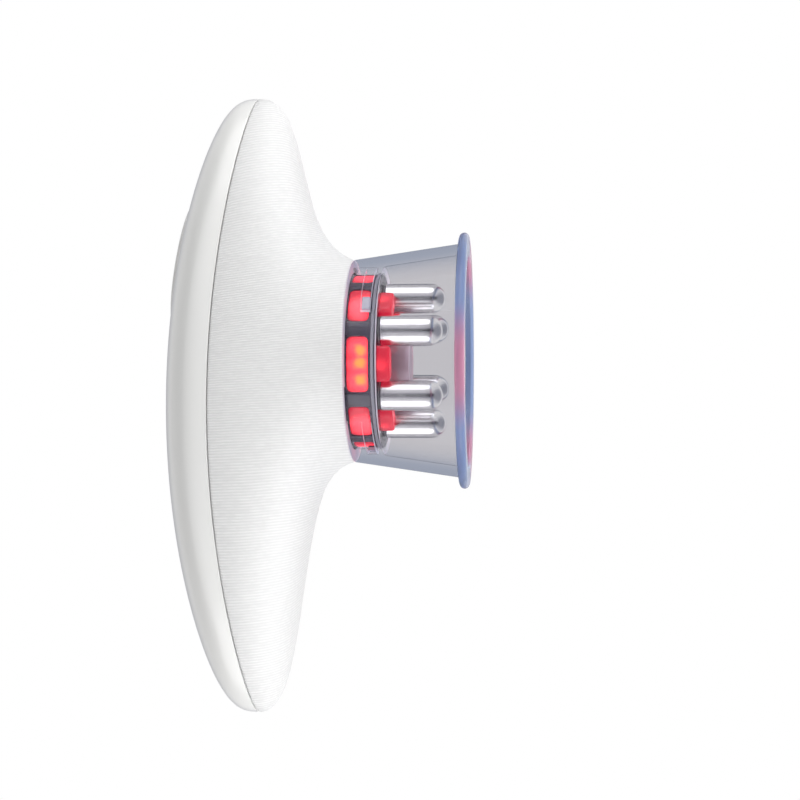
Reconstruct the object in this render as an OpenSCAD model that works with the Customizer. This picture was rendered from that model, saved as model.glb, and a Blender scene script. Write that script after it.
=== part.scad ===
// Handheld suction massager: a crescent pod with a twist-on clear cup.
// Z is up, the lip's face is at Z 0 on the cup's axis, and the nose of the pod points along X.

/* [Pod] */
// Length of the pod from nose tip to tail tip
pod_length = 182.2; // [176:0.2:188]
// Width of the pod across the hand
pod_width = 74.8; // [72:0.2:80]
// How far the middle of the pod lies behind the cup's axis
pod_setback = 13; // [11:0.5:15]
// Fullness of the pod's outline, where 2 is an ellipse
plan_power = 2.07; // [2:0.01:2.3]
// Height of the seam at both tips above the lip's face
tip_height = 62; // [60:0.5:65]
// How much higher the seam runs at the middle of the pod
seam_rise = 8.3; // [7:0.1:10]
// Power of the seam's arch from tip to middle
seam_power = 1.28; // [1.1:0.01:1.4]
// Height of the back shell's dome above the seam
dome_height = 16; // [15:0.5:18]
// Fullness of the dome, where 2 is an ellipse
dome_power = 3.1; // [2.8:0.1:3.4]
// Wall of both shells
shell_wall = 2.2; // [1.8:0.1:2.4]
// Depth of the tongue that registers the two shells at the seam
tongue_depth = 1.6; // [1.2:0.1:1.8]
// Width of the seam line between the two shells
seam_gap = 0.25; // [0.15:0.05:0.4]

/* [Horns and flanks] */
// Straight drop below the seam at the nose
nose_drop = 15; // [13:0.5:17]
// Reach of the neck's curve towards the nose
nose_reach = 22; // [20:0.5:24]
// Slope of the nose side where it leaves the neck, in degrees
nose_slope = 68.6; // [65:0.2:74]
// Straight drop below the seam at the tail
tail_drop = 15.4; // [14.4:0.2:17]
// Reach of the neck's curve towards the tail
tail_reach = 23.6; // [21:0.2:26]
// Slope of the tail side where it leaves the neck, in degrees
tail_slope = 76.9; // [70:0.1:80]
// Straight drop below the seam at the flanks
flank_drop = 13; // [11:0.5:15]
// Reach of the neck's curve up the flanks
flank_reach = 12.4; // [10:0.2:14]
// Slope of the flanks where they leave the neck, in degrees
flank_slope = 77; // [72:1:82]

/* [Cup] */
// Height of the cup from the lip's face to its top edge
cup_height = 33.85; // [31.85:0.5:35.85]
// Outer radius of the cup at its top edge, flush with the neck
cup_top_r = 29.9; // [29:0.1:31]
// Radius of the cup's mouth
mouth_r = 31.3; // [30:0.1:33]
// Wall of the cup's cone
cup_wall = 3.3; // [2.6:0.1:3.6]
// Outer radius of the lip
lip_r = 37.6; // [36.6:0.1:39]
// Thickness of the lip
lip_thick = 2.7; // [2.4:0.1:3.2]
// Depth of the twist tracks in the skirt's bore
track_depth = 1.5; // [1.2:0.1:1.8]
// Height of the level run of a twist track
track_height = 2.8; // [2.4:0.1:3.2]
// Angle that the cup turns from locked to free, in degrees
twist_angle = 46; // [40:1:48]

/* [Head] */
// Outer radius of the head base
base_r = 25.6; // [25:0.1:26]
// Wall of the head base's tube
base_wall = 2.2; // [1.8:0.1:2.4]
// Height of the head plate's front face above the lip's face
plate_height = 25.2; // [24.2:0.1:26.2]
// Thickness of the head plate
plate_thick = 2; // [1.6:0.1:2.2]
// Turn of the whole head about the cup's axis, in degrees
head_turn = -4; // [-10:1:10]
// Width of the three wide light windows, in degrees
wide_window = 36; // [30:1:38]
// Width of the six narrow light windows, in degrees
narrow_window = 27; // [20:1:28]
// Height of the light windows
window_height = 6; // [5:0.1:6.2]
// Radius of the electrode rods
rod_r = 4.35; // [3.8:0.05:4.6]
// Radius of the circle of electrode rods
rod_circle = 18.4; // [17.8:0.1:18.8]
// Height of the electrode tips above the lip's face
rod_tip = 7; // [5:0.5:10]
// Radius of the clear suction port
port_r = 7.5; // [6:0.1:8.5]
// Length of the suction port in front of the head plate
port_length = 8; // [6:0.5:10]

/* [Control panel] */
// Length of the control panel
panel_length = 44; // [42:0.5:46]
// Width of the control panel
panel_width = 42; // [38:0.5:43]
// Distance of the panel's middle from the cup's axis
panel_x = 26; // [25:0.5:28]
// How far the panel stands above the back shell
panel_proud = 0.9; // [0.6:0.1:1.1]
// Radius of each button
button_r = 4.6; // [4:0.1:4.8]
// Spacing of the buttons
button_pitch = 12; // [11.5:0.1:13]
// Travel of each button
button_travel = 0.5; // [0.3:0.1:0.6]

/* [Inside] */
// Radius of the battery cell
battery_r = 9.1; // [8.6:0.1:9.3]
// Length of the battery cell
battery_length = 50; // [44:1:52]
// Width and height of the pump head
pump_size = 24; // [22:0.5:25]
// Radius of the pump motor
pump_motor_r = 10.5; // [9:0.5:11]
// Length of the pump motor
pump_motor_length = 23; // [20:1:26]
// Radius of the vibration motor
shaker_r = 6; // [5:0.25:6.5]
// Length of the vibration motor
shaker_length = 14; // [12:0.5:15]
// Radius of the eccentric weight
weight_r = 5.6; // [4.5:0.1:6]

/* [Hidden] */
$fn = 64;
tiny = 0.01;
cut = 1;

// Counts and mesh steps
corner_step = 15;
rod_count = 6;
lug_count = 3;
plan_steps = 72;
dome_steps = 10;
loft_steps = 14;
panel_steps = 40;

// Clearances
fit_gap = 0.05;
easy_gap = 0.15;
body_gap = 0.2;
soft_gap = 0.3;
skirt_gap = 0.4;
seal_gap = 0.08;

// Pod
half_length = pod_length / 2;
half_width = pod_width / 2;
neck_r = cup_top_r;
neck_z = cup_height + body_gap;
rebate_wall = shell_wall / 2 - easy_gap / 2;
tongue_inset = rebate_wall + easy_gap;
rebate_start = 0.06;
inner_lift = 2;
ledge_r = base_r + easy_gap + 0.45;
ledge_height = 1.2;
neck_wall = shell_wall + 0.1;
tail_x = -pod_setback - half_length;
nose_x = half_length - pod_setback;

// Head
bore_r = base_r + skirt_gap;
base_inner_r = base_r - base_wall;
base_rise = 4.95;
base_top = neck_z + base_rise;
base_ring_r = 17.5;
base_ring_depth = 3.5;
base_ring_z = base_top - base_ring_depth;
web_thick = 2;
web_top = base_top + web_thick;
ring_screw_circle = 20;
ring_screw_length = 4.8;
window_lift = 2.2;
window_z = plate_height + window_lift;
window_corner = 1.4;
window_pitch = 42;
window_centre = 270;
window_liner = 0.6;
lug_angle = 190;
lug_width = 10;
lug_height = track_height - 2 * body_gap;
lug_depth = track_depth - body_gap;
lug_lift = 1.9;
lug_z = plate_height + lug_lift;
track_z = lug_z - body_gap;
entry_slack = 0.45;
entry_draft = 1;
entry_sweep = 7.5;
seal_r = 0.5;
seal_lift = 1;
seal_z = plate_height + seal_lift;
plate_r = base_inner_r - fit_gap;
plate_top = plate_height + plate_thick;
washer_thick = 0.5;
stud_r = 1.5;
stud_rise = 3.4;
stud_top = plate_top + stud_rise;
rod_groove = 0.12;
rod_groove_width = 0.3;
nut_r = 2.9;
nut_thick = 2.3;
lens_half_depth = 2.8;
lens_gap = 0.25;
lens_inner_r = rod_circle - lens_half_depth;
lens_outer_r = rod_circle + lens_half_depth;
lens_half_angle = asin(min(1, (rod_circle * sin(30) - rod_r - lens_gap) / rod_circle));
lens_proud = 3.6;
lens_bevel = 0.8;
port_bore_r = 2;
port_stem_r = 3.2;
port_neck_r = 5.4;
port_rim = 1.5;
port_rise = 6;
port_top = neck_z + port_rise;
filter_thick = 2.4;
led_board_lift = 0.5;
led_board_z = stud_top + led_board_lift;
led_board_thick = 1.2;
led_board_bore = 8.5;
led_size = [3.2, 2.8, 1.4];
side_led_size = [2, 3.4, 2.4];
screw_r = 1;
screw_head_r = 2;
screw_head = 1.4;

// Lip
lip_floor = 0.9;
lip_foot = 0.4;
bead_r = lip_thick / 2;
cone_slope = (mouth_r + cup_wall - cup_top_r) / (cup_height - lip_floor);
cup_chamfer = 0.5;
shoulder_drop = 0.6;

// Panel and buttons
panel_depth = 0.95;
panel_ledge = 3;
switch_size = [6, 6, 1];
plunger_r = 1.7;
plunger_height = 0.4;
button_board_drop = 6.4;
button_board_thick = 1.2;
button_board_half_width = 12;
button_proud = 0.4;
button_dish = 0.35;
button_rim = 0.8;
button_chamfer = 0.3;
flange_width = 0.8;
flange_r = button_r + flange_width;
flange_thick = 0.9;
flange_top = -panel_depth - soft_gap;
stem_r = 1.5;
spacer_r = 1.6;
spacer_y = 10;
light_r = 0.9;
light_pitch = 5;
light_y = panel_width * 0.29;
bore_reach = 4;

// Pump and valve
rib_height = 9.5;
rib_x = 8;
rib_size = [4, 20];
pump_low = web_top + rib_height;
pump_high = pump_low + pump_size;
pump_z = pump_low + pump_size / 2;
pump_half_length = 10;
pump_bolt_r = 1.2;
pump_bolt_edge = 2.4;
pump_bolt_depth = 3;
pump_motor_z = pump_low + pump_motor_r + soft_gap;
motor_boss_r = 3.5;
motor_boss = 1.8;
nozzle_r = port_stem_r;
nozzle_length = 3;
nozzle_low = pump_low - nozzle_length;
nozzle_bore = 8;
hose_wall = 1.3;
hose_overlap = 5;
hose_low = port_top - hose_overlap;
hose_clearance = 2;
branch_r = 2.2;
branch_bore_r = 1.2;
branch_z = web_top + branch_r + soft_gap;
branch_length = 15.2;
valve_size = [10, 8, 12];
valve_stem_r = 3;
valve_stem = 3;

// Boards, battery and charging
post_r = 2.4;
post_x = -9;
post_y = pump_size / 2 + 2 * body_gap + post_r;
board_screw_length = 6;
main_board_lift = 2.2;
main_board_z = pump_high + main_board_lift;
main_board_thick = 1.6;
main_board_half_width = 17.5;
board_edge = 4;
main_board_front = post_x + 2 * board_edge;
// Corner and size of each chip on the main board, from the frame's posts
board_chips = [
    [-29, -8, [9, 9, 1.3]],
    [-15, 3, [6, 5, 1.5]],
    [-17, -12, [5, 4, 2]],
    [4, 0, [3.4, 10, 3]]
];
capacitor_place = [-4, 6];
capacitor_r = 2;
capacitor_height = 2.4;
battery_inset = 26.1;
battery_rise = 3.4;
battery_z = tip_height + battery_rise;
battery_back = tail_x + battery_inset;
battery_front = battery_back + battery_length;
battery_cap_r = 3;
battery_cap = 0.8;
cradle_wall = 1.5;
cradle_r = battery_r + easy_gap + cradle_wall;
cradle_notch = 8;
cradle_post_inset = 10;
cradle_post_x = battery_front - cradle_post_inset;
cradle_post_y = cradle_r + post_r - cradle_wall / 2;
cradle_foot_inset = [8, 16];
socket_rise = 4.4;
socket_z = tip_height + socket_rise;
socket_length = 7.3;
socket_sink = 1.5;
socket_half_width = 4.47;
socket_half_height = 1.6;
socket_shell = 0.3;
socket_tongue = [5.8, 6.6, 0.7];
charging_board_thick = 1.2;
charging_board_half_width = 5.5;
charging_board_z = socket_z - socket_half_height - charging_board_thick;
tongue_length = 15;
tongue_half_width = 6;

// Vibration motor
shaker_inset = 31.1;
shaker_x = nose_x - shaker_inset;
shaker_z = tip_height;
shaft_r = 0.75;
shaft_length = 5.5;
hub_wall = 1.2;
weight_length = 4;
weight_gap = 0.8;
clip_wall = 1.4;
clip_length = 8;
clip_mouth = 2.5;

// Signed power for superellipses
function signed_pow(v, e) = sign(v) * pow(abs(v), e);

// Height of the seam above the lip's face at a place along the pod
function seam_z(x) = tip_height
    + seam_rise * pow(max(0, 1 - pow((x + pod_setback) / half_length, 2)), seam_power);

// Point of the pod's outline at an angle, moved inwards
function plan_point(a, inset) = [
    (half_length - inset) * signed_pow(cos(a), 2 / plan_power) - pod_setback,
    (half_width - inset) * signed_pow(sin(a), 2 / plan_power)
];

// Point of the seam at an angle, moved inwards and down
function seam_point(a, inset, drop) = let (p = plan_point(a, inset))
    [p.x, p.y, seam_z(p.x) - drop];

function seam_ring(inset, drop) = [
    for (i = [0 : plan_steps - 1]) seam_point(360 * i / plan_steps, inset, drop)
];

// Ring of the dome at a climb from 0 at the seam to 90 at the crown
function dome_ring(climb, inset) = [
    for (i = [0 : plan_steps - 1])
        let (
            a = 360 * i / plan_steps,
            r = signed_pow(cos(climb), 2 / dome_power),
            x = (half_length - inset) * r * signed_pow(cos(a), 2 / plan_power) - pod_setback,
            y = (half_width - inset) * r * signed_pow(sin(a), 2 / plan_power)
        )
        [x, y, seam_z(x) + (dome_height - inset) * signed_pow(sin(climb), 2 / dome_power)]
];

// Height of the dome over a place in plan
function dome_z(x, y, inset = 0) =
    let (
        u = pow(abs(x + pod_setback) / (half_length - inset), plan_power),
        v = pow(abs(y) / (half_width - inset), plan_power),
        r = pow(u + v, 1 / plan_power)
    )
    seam_z(x) + (dome_height - inset) * pow(max(0, 1 - pow(r, dome_power)), 1 / dome_power);

// Tilt of the dome's normal towards the nose at a place on its ridge
function dome_tilt(x) = -atan((dome_z(x + 1, 0) - dome_z(x - 1, 0)) / 2);

// Value that changes round the neck between nose, tail and flanks
function around(a, nose, tail, flank) =
    nose * pow(max(cos(a), 0), 2) + tail * pow(max(-cos(a), 0), 2) + flank * pow(sin(a), 2);

// Point of the front shell, swept from the seam at t 0 to the neck at t 1
function sweep_point(a, t, inset, lift, neck_inset, neck_lift) =
    let (
        start = seam_point(a, inset, seam_gap),
        finish = [(neck_r - neck_inset) * cos(a), (neck_r - neck_inset) * sin(a), neck_z + neck_lift],
        drop = around(a, nose_drop, tail_drop, flank_drop) - lift,
        reach = around(a, nose_reach, tail_reach, flank_reach) + 0.4 * lift,
        slope = around(a, nose_slope, tail_slope, flank_slope),
        start_handle = start - [0, 0, drop],
        finish_handle = finish + reach * [cos(slope) * cos(a), cos(slope) * sin(a), sin(slope)],
        q = 1 - t
    )
    pow(q, 3) * start + 3 * pow(q, 2) * t * start_handle
    + 3 * q * pow(t, 2) * finish_handle + pow(t, 3) * finish;

function outer_sweep(a, t) = sweep_point(a, t, 0, 0, 0, 0);
function inner_sweep(a, t) = sweep_point(a, t, shell_wall, inner_lift, neck_wall, ledge_height);

function outer_ring(t) = [
    for (i = [0 : plan_steps - 1]) outer_sweep(360 * i / plan_steps, t)
];
function inner_ring(t) = [
    for (i = [0 : plan_steps - 1]) inner_sweep(360 * i / plan_steps, t)
];

// Ring of the rebate that takes the back shell's tongue
function rebate_ring(t) = [
    for (i = [0 : plan_steps - 1])
        let (a = 360 * i / plan_steps, p = plan_point(a, rebate_wall))
        [p.x, p.y, inner_sweep(a, t).z]
];

function neck_ring(r, z) = [
    for (i = [0 : plan_steps - 1]) [r * cos(360 * i / plan_steps), r * sin(360 * i / plan_steps), z]
];

// Floor of the front shell's cavity along the pod's middle, as pairs for lookup
floor_table = concat(
    [for (i = [3 : 20]) let (p = inner_sweep(180, i / 20)) [p.x, p.z]],
    [for (i = [0 : 17]) let (p = inner_sweep(0, 1 - i / 20)) [p.x, p.z]]
);
function floor_z(x) = lookup(x, floor_table);

// Height at which a post of a given radius clears the sloping floor
function foot_z(x, r) = max(floor_z(x - r), floor_z(x + r)) + soft_gap;

// Triangles that join rings of n points, one after another
function ring_faces(count, n, first) = [
    for (j = [0 : count - 2], i = [0 : n - 1])
        let (
            a = first + j * n + i,
            b = first + j * n + (i + 1) % n,
            c = a + n,
            d = b + n
        )
        each [[a, b, d], [a, d, c]]
];

// Solid from rings, closed by a point above the first and a point after the last
module capped_rings(top, rings, bottom) {
    n = len(rings[0]);
    count = len(rings);
    last = 1 + (count - 1) * n;
    end = 1 + count * n;
    top_fan = [for (i = [0 : n - 1]) [0, 1 + (i + 1) % n, 1 + i]];
    end_fan = [for (i = [0 : n - 1]) [end, last + i, last + (i + 1) % n]];
    polyhedron(
        points = concat([top], [for (r = rings) each r], [bottom]),
        faces = concat(top_fan, ring_faces(count, n, 1), end_fan),
        convexity = 8
    );
}

// Solid from rings that come back to the first
module looped_rings(rings) {
    n = len(rings[0]);
    count = len(rings);
    closing = [
        for (i = [0 : n - 1])
            let (a = (count - 1) * n + i, b = (count - 1) * n + (i + 1) % n, c = i, d = (i + 1) % n)
            each [[a, b, d], [a, d, c]]
    ];
    polyhedron(
        points = [for (r = rings) each r],
        faces = concat(ring_faces(count, n, 0), closing),
        convexity = 8
    );
}

// Tube about the Z axis
module tube(outer, inner, low, high) {
    translate([0, 0, low]) difference() {
        cylinder(r = outer, h = high - low);
        translate([0, 0, -cut]) cylinder(r = inner, h = high - low + 2 * cut);
    }
}

// Part of a tube between two angles
module tube_sector(outer, inner, low, high, from, width) {
    rotate([0, 0, from]) rotate_extrude(angle = width, $fn = 128)
        translate([inner, low]) square([outer - inner, high - low]);
}

// Point over the panel's place, at a share of its size and an angle
function panel_point(share, a, grow, lift) =
    let (
        x = panel_x + (panel_length / 2 + grow) * share * cos(a),
        y = (panel_width / 2 + grow) * share * sin(a)
    )
    [x, y, dome_z(x, y) + lift];

function panel_ring(share, grow, lift) = [
    for (i = [0 : panel_steps - 1]) panel_point(share, 360 * i / panel_steps, grow, lift)
];

// Slab over the panel's ellipse, whose faces follow the dome and whose upper edge can be bevelled
module dome_patch(grow, high, low, bevel) {
    shares = [0.3, 0.6, 0.85];
    rings = concat(
        [for (share = shares) panel_ring(share, grow, high)],
        [panel_ring(0.965, grow, high), panel_ring(1, grow, high - bevel), panel_ring(1, grow, low)],
        [for (i = [2 : -1 : 0]) panel_ring(shares[i], grow, low)]
    );
    capped_rings(panel_point(0, 0, grow, high), rings, panel_point(0, 0, grow, low));
}

// Frame on the panel's ridge, with Z along the dome's normal
module on_dome(x) {
    translate([x, 0, dome_z(x, 0)]) rotate([0, dome_tilt(x), 0]) children();
}

function button_x(place) = panel_x + place * button_pitch;

// Depth below the dome, along a button's axis, at which its switch's plunger ends
function plunger_depth(x) =
    let (
        tilt = dome_tilt(panel_x),
        run = (x - panel_x) * sin(tilt),
        rise = (dome_z(x, 0) - dome_z(panel_x, 0)) * cos(tilt)
    )
    (run + rise + button_board_drop - switch_size.z - plunger_height) / cos(tilt - dome_tilt(x));

// Long hole or plate with round ends, lying along Y and drawn along X
module round_slot(half_width, half_height, depth) {
    rotate([90, 0, 90]) linear_extrude(depth) union() {
        square([2 * (half_width - half_height), 2 * half_height], center = true);
        for (side = [-1, 1])
            translate([side * (half_width - half_height), 0]) circle(r = half_height, $fn = 32);
    }
}

module back_shell() {
    climbs = [for (i = [dome_steps - 1 : -1 : 0]) 90 * i / dome_steps];
    outside = [for (c = climbs) dome_ring(c, 0)];
    tongue = [
        seam_ring(tongue_inset, 0),
        seam_ring(tongue_inset, tongue_depth),
        seam_ring(shell_wall, tongue_depth)
    ];
    inside = [for (i = [0 : dome_steps - 1]) dome_ring(90 * i / dome_steps, shell_wall)];
    crown = [-pod_setback, 0, seam_z(-pod_setback) + dome_height];
    color("white") difference() {
        capped_rings(crown, concat(outside, tongue, inside), crown - [0, 0, shell_wall]);
        dome_patch(easy_gap, bore_reach, -panel_depth - fit_gap, 0);
        translate([panel_x, 0, tip_height]) linear_extrude(dome_height + seam_rise + bore_reach)
            polygon([
                for (i = [0 : panel_steps - 1])
                    let (a = 360 * i / panel_steps)
                    [(panel_length / 2 - panel_ledge) * cos(a), (panel_width / 2 - panel_ledge) * sin(a)]
            ]);
        translate([tail_x - cut, 0, socket_z])
            round_slot(socket_half_width + easy_gap, socket_half_height + easy_gap, socket_length);
    }
}

module front_shell() {
    outside = [for (i = [0 : loft_steps]) outer_ring(i / loft_steps)];
    ledge = [neck_ring(ledge_r, neck_z), neck_ring(ledge_r, neck_z + ledge_height)];
    inside = [
        for (i = [loft_steps : -1 : 0])
            inner_ring(rebate_start + (1 - rebate_start) * i / loft_steps)
    ];
    rebate = [rebate_ring(rebate_start), seam_ring(rebate_wall, seam_gap)];
    color("whitesmoke") looped_rings(concat(outside, ledge, inside, rebate));
}

module control_panel() {
    color("gainsboro") difference() {
        dome_patch(0, panel_proud, -panel_depth, panel_proud * 0.6);
        for (place = [-1 : 1]) on_dome(button_x(place)) panel_hole(button_r + easy_gap);
        for (i = [-1 : 1]) light_place(i) panel_hole(light_r + fit_gap);
    }
}

module panel_hole(r) {
    translate([0, 0, -bore_reach]) cylinder(r = r, h = 2 * bore_reach);
}

// Frame of one status light, on the panel's far side
module light_place(i) {
    x = panel_x + light_pitch * i;
    translate([x, light_y, dome_z(x, light_y)]) rotate([0, dome_tilt(panel_x), 0]) children();
}

// One push button, with a dish for the fingertip, the flange that the panel retains and the stem
// that meets its switch
module push_button(place, colour) {
    stem_low = button_travel + soft_gap - plunger_depth(button_x(place));
    top = panel_proud + button_proud;
    bevel = top - button_chamfer;
    dish_r = (pow(button_r - button_rim, 2) + pow(button_dish, 2)) / (2 * button_dish);
    color(colour) on_dome(button_x(place)) {
        difference() {
            union() {
                translate([0, 0, flange_top - tiny]) cylinder(r = button_r, h = bevel - flange_top + tiny);
                translate([0, 0, bevel])
                    cylinder(r1 = button_r, r2 = button_r - button_chamfer, h = button_chamfer);
            }
            translate([0, 0, top - button_dish + dish_r]) sphere(r = dish_r, $fn = 128);
        }
        translate([0, 0, flange_top - flange_thick]) cylinder(r = flange_r, h = flange_thick);
        translate([0, 0, stem_low])
            cylinder(r = stem_r, h = flange_top - flange_thick / 2 - stem_low);
    }
}

module power_button() {
    push_button(1, "silver");
}

module level_button() {
    push_button(0, "lightgray");
}

module heat_button() {
    push_button(-1, "lightgray");
}

module status_lights() {
    color("lightcyan") for (i = [-1 : 1])
        light_place(i) translate([0, 0, -bore_reach]) cylinder(r = light_r, h = bore_reach + panel_proud);
}

module button_board() {
    half_length = button_pitch + flange_r + spacer_r;
    color("seagreen") on_dome(panel_x) translate([0, 0, -button_board_drop]) {
        translate([-half_length, -button_board_half_width, -button_board_thick])
            cube([2 * half_length, 2 * button_board_half_width, button_board_thick]);
        for (place = [-1 : 1]) translate([place * button_pitch, 0, -tiny]) {
            translate([-switch_size.x / 2, -switch_size.y / 2, 0]) cube(switch_size);
            cylinder(r = plunger_r, h = switch_size.z + plunger_height);
        }
    }
}

// Four spacers that hang the button board from the back shell
module board_spacers() {
    reach = button_pitch + flange_r;
    drop = tan(dome_tilt(panel_x));
    color("silver") for (side = [-1, 1], end = [-1, 1]) {
        x = panel_x + end * reach;
        y = spacer_y * side;
        top = min(dome_z(x - spacer_r, y, shell_wall), dome_z(x + spacer_r, y, shell_wall)) - soft_gap;
        low = dome_z(panel_x, 0) - button_board_drop - (x - panel_x - spacer_r) * drop + soft_gap;
        translate([x, y, low]) cylinder(r = spacer_r, h = top - low);
    }
}

module main_board() {
    color("darkgreen") translate([0, 0, main_board_z]) {
        difference() {
            translate([cradle_post_x - board_edge, -main_board_half_width, 0])
                cube([main_board_front - cradle_post_x + board_edge, 2 * main_board_half_width,
                    main_board_thick]);
            board_screw_places() translate([0, 0, -cut])
                cylinder(r = screw_r + easy_gap, h = main_board_thick + 2 * cut, $fn = 32);
        }
        for (chip = board_chips)
            translate([post_x + chip[0], chip[1], main_board_thick - tiny]) cube(chip[2]);
        translate([post_x + capacitor_place[0], capacitor_place[1], main_board_thick - tiny])
            cylinder(r = capacitor_r, h = capacitor_height);
    }
}

// The four places where the main board is screwed down, two on the frame and two on the cradle
module board_screw_places() {
    for (side = [-1, 1]) {
        translate([post_x, side * post_y, 0]) children();
        translate([cradle_post_x, side * cradle_post_y, 0]) children();
    }
}

module board_screws() {
    color("silver") translate([0, 0, main_board_z + main_board_thick])
        board_screw_places() screw(board_screw_length);
}

// Pan head screw that points down from the seat of its head
module screw(length) {
    cylinder(r = screw_head_r, h = screw_head, $fn = 32);
    translate([0, 0, -length]) cylinder(r = screw_r, h = length + tiny, $fn = 32);
}

// Post with a screw hole in its top
module screw_post(low, high) {
    difference() {
        translate([0, 0, low]) cylinder(r = post_r, h = high - low, $fn = 32);
        translate([0, 0, high - board_screw_length])
            cylinder(r = screw_r + fit_gap, h = board_screw_length + cut, $fn = 32);
    }
}

// The three screws that hold the head base to the frame
module ring_screw_places() {
    for (a = [60, 180, 300]) rotate([0, 0, a]) translate([ring_screw_circle, 0, 0]) children();
}

module inner_frame() {
    outer = neck_r - neck_wall - soft_gap;
    low = neck_z + ledge_height + fit_gap;
    color("dimgray") {
        difference() {
            union() {
                tube(outer, base_r + easy_gap, low, base_top + tiny);
                translate([0, 0, base_top]) cylinder(r = outer, h = web_thick);
            }
            translate([0, 0, base_top - cut])
                cylinder(r = nozzle_r + hose_wall + hose_clearance, h = web_thick + 2 * cut);
            ring_screw_places() translate([0, 0, base_top - cut])
                cylinder(r = screw_r + easy_gap, h = web_thick + 2 * cut, $fn = 32);
        }
        for (side = [-1, 1]) {
            translate([side * rib_x - rib_size.x / 2, -rib_size.y / 2, web_top - tiny])
                cube([rib_size.x, rib_size.y, rib_height + tiny]);
            translate([post_x, side * post_y, 0]) screw_post(web_top - tiny, main_board_z);
        }
    }
}

module battery() {
    color("royalblue") translate([battery_back, 0, battery_z]) rotate([0, 90, 0]) {
        cylinder(r = battery_r, h = battery_length);
        translate([0, 0, battery_length - tiny]) cylinder(r = battery_cap_r, h = battery_cap);
    }
}

module battery_cradle() {
    start = battery_back - easy_gap;
    length = battery_length + 2 * easy_gap;
    low = battery_z - cradle_r;
    color("dimgray") {
        difference() {
            translate([start - cradle_wall, -cradle_r, low])
                cube([length + 2 * cradle_wall, 2 * cradle_r, cradle_r]);
            translate([start, 0, battery_z]) rotate([0, 90, 0])
                cylinder(r = battery_r + easy_gap, h = length);
            translate([start + length - cut, -cradle_notch / 2, battery_z - cradle_notch / 2])
                cube([cradle_wall + 2 * cut, cradle_notch, cradle_notch]);
        }
        for (x = [start + cradle_foot_inset[0], start + length - cradle_foot_inset[1]])
            translate([x, 0, foot_z(x, post_r)])
                cylinder(r = post_r, h = low + tiny - foot_z(x, post_r), $fn = 32);
        for (side = [-1, 1])
            translate([cradle_post_x, side * cradle_post_y, 0])
                screw_post(low + 2 * cradle_wall, main_board_z);
        translate([start - tongue_length - cradle_wall, -tongue_half_width,
            charging_board_z - cradle_wall - fit_gap])
            cube([tongue_length + cradle_wall + tiny, 2 * tongue_half_width, cradle_wall]);
    }
}

module charging_board() {
    start = tail_x + socket_sink + 2 * cradle_wall;
    color("seagreen") translate([start, -charging_board_half_width, charging_board_z])
        cube([battery_back - cradle_wall - 2 * easy_gap - start, 2 * charging_board_half_width,
            charging_board_thick]);
}

module charging_socket() {
    color("silver") translate([tail_x + socket_sink, 0, socket_z]) difference() {
        round_slot(socket_half_width, socket_half_height, socket_length);
        translate([-cut, 0, 0])
            round_slot(socket_half_width - socket_shell, socket_half_height - socket_shell, socket_length);
    }
    color("black") translate([tail_x + socket_sink + cut, 0, socket_z])
        translate([0, -socket_tongue.y / 2, -socket_tongue.z / 2]) cube(socket_tongue);
}

module pump_head() {
    half = pump_size / 2;
    bolt = half - pump_bolt_edge;
    color("ivory") difference() {
        union() {
            translate([-pump_half_length, -half, pump_low])
                cube([2 * pump_half_length, pump_size, pump_size]);
            translate([0, 0, nozzle_low]) cylinder(r = nozzle_r, h = pump_low - nozzle_low + tiny);
        }
        translate([0, 0, nozzle_low - cut]) cylinder(r = port_bore_r, h = nozzle_bore);
        for (y = [-bolt, bolt], z = [-bolt, bolt])
            translate([-pump_half_length - cut, y, pump_z + z])
                rotate([0, 90, 0]) cylinder(r = pump_bolt_r, h = pump_bolt_depth + cut, $fn = 24);
    }
}

module pump_motor() {
    color("silver") translate([pump_half_length, 0, pump_motor_z]) rotate([0, 90, 0]) {
        cylinder(r = pump_motor_r, h = pump_motor_length);
        translate([0, 0, pump_motor_length - tiny]) cylinder(r = motor_boss_r, h = motor_boss);
    }
}

module suction_hose() {
    high = pump_low - body_gap;
    color("lightgray") difference() {
        union() {
            translate([0, 0, hose_low]) cylinder(r = port_stem_r + fit_gap + hose_wall, h = high - hose_low);
            translate([0, 0, branch_z]) rotate([-90, 0, 0]) cylinder(r = branch_r, h = branch_length);
        }
        translate([0, 0, hose_low - cut])
            cylinder(r = port_stem_r + fit_gap, h = high - hose_low + 2 * cut);
        translate([0, 0, branch_z]) rotate([-90, 0, 0])
            cylinder(r = branch_bore_r, h = branch_length + cut, $fn = 32);
    }
}

module release_valve() {
    color("dimgray") translate([0, branch_length + body_gap, web_top + fit_gap]) {
        translate([-valve_size.x / 2, 0, 0]) cube(valve_size);
        translate([0, valve_size.y / 2, valve_size.z - tiny]) cylinder(r = valve_stem_r, h = valve_stem);
    }
}

module vibration_motor() {
    color("silver") translate([shaker_x, 0, shaker_z]) rotate([0, 90, 0]) {
        cylinder(r = shaker_r, h = shaker_length);
        cylinder(r = shaft_r, h = shaker_length + shaft_length, $fn = 24);
    }
}

module motor_clip() {
    middle = shaker_x + shaker_length / 2;
    start = middle - clip_length / 2;
    foot = foot_z(middle, post_r);
    inner = shaker_r + easy_gap;
    outer = inner + clip_wall;
    color("dimgray") {
        difference() {
            translate([start, 0, shaker_z]) rotate([0, 90, 0]) cylinder(r = outer, h = clip_length);
            translate([start - cut, 0, shaker_z]) rotate([0, 90, 0])
                cylinder(r = inner, h = clip_length + 2 * cut);
            translate([start - cut, -outer - cut, shaker_z + clip_mouth])
                cube([clip_length + 2 * cut, 2 * (outer + cut), outer]);
        }
        translate([middle, 0, foot])
            cylinder(r = post_r, h = shaker_z - inner - clip_wall / 2 - foot, $fn = 32);
    }
}

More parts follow.
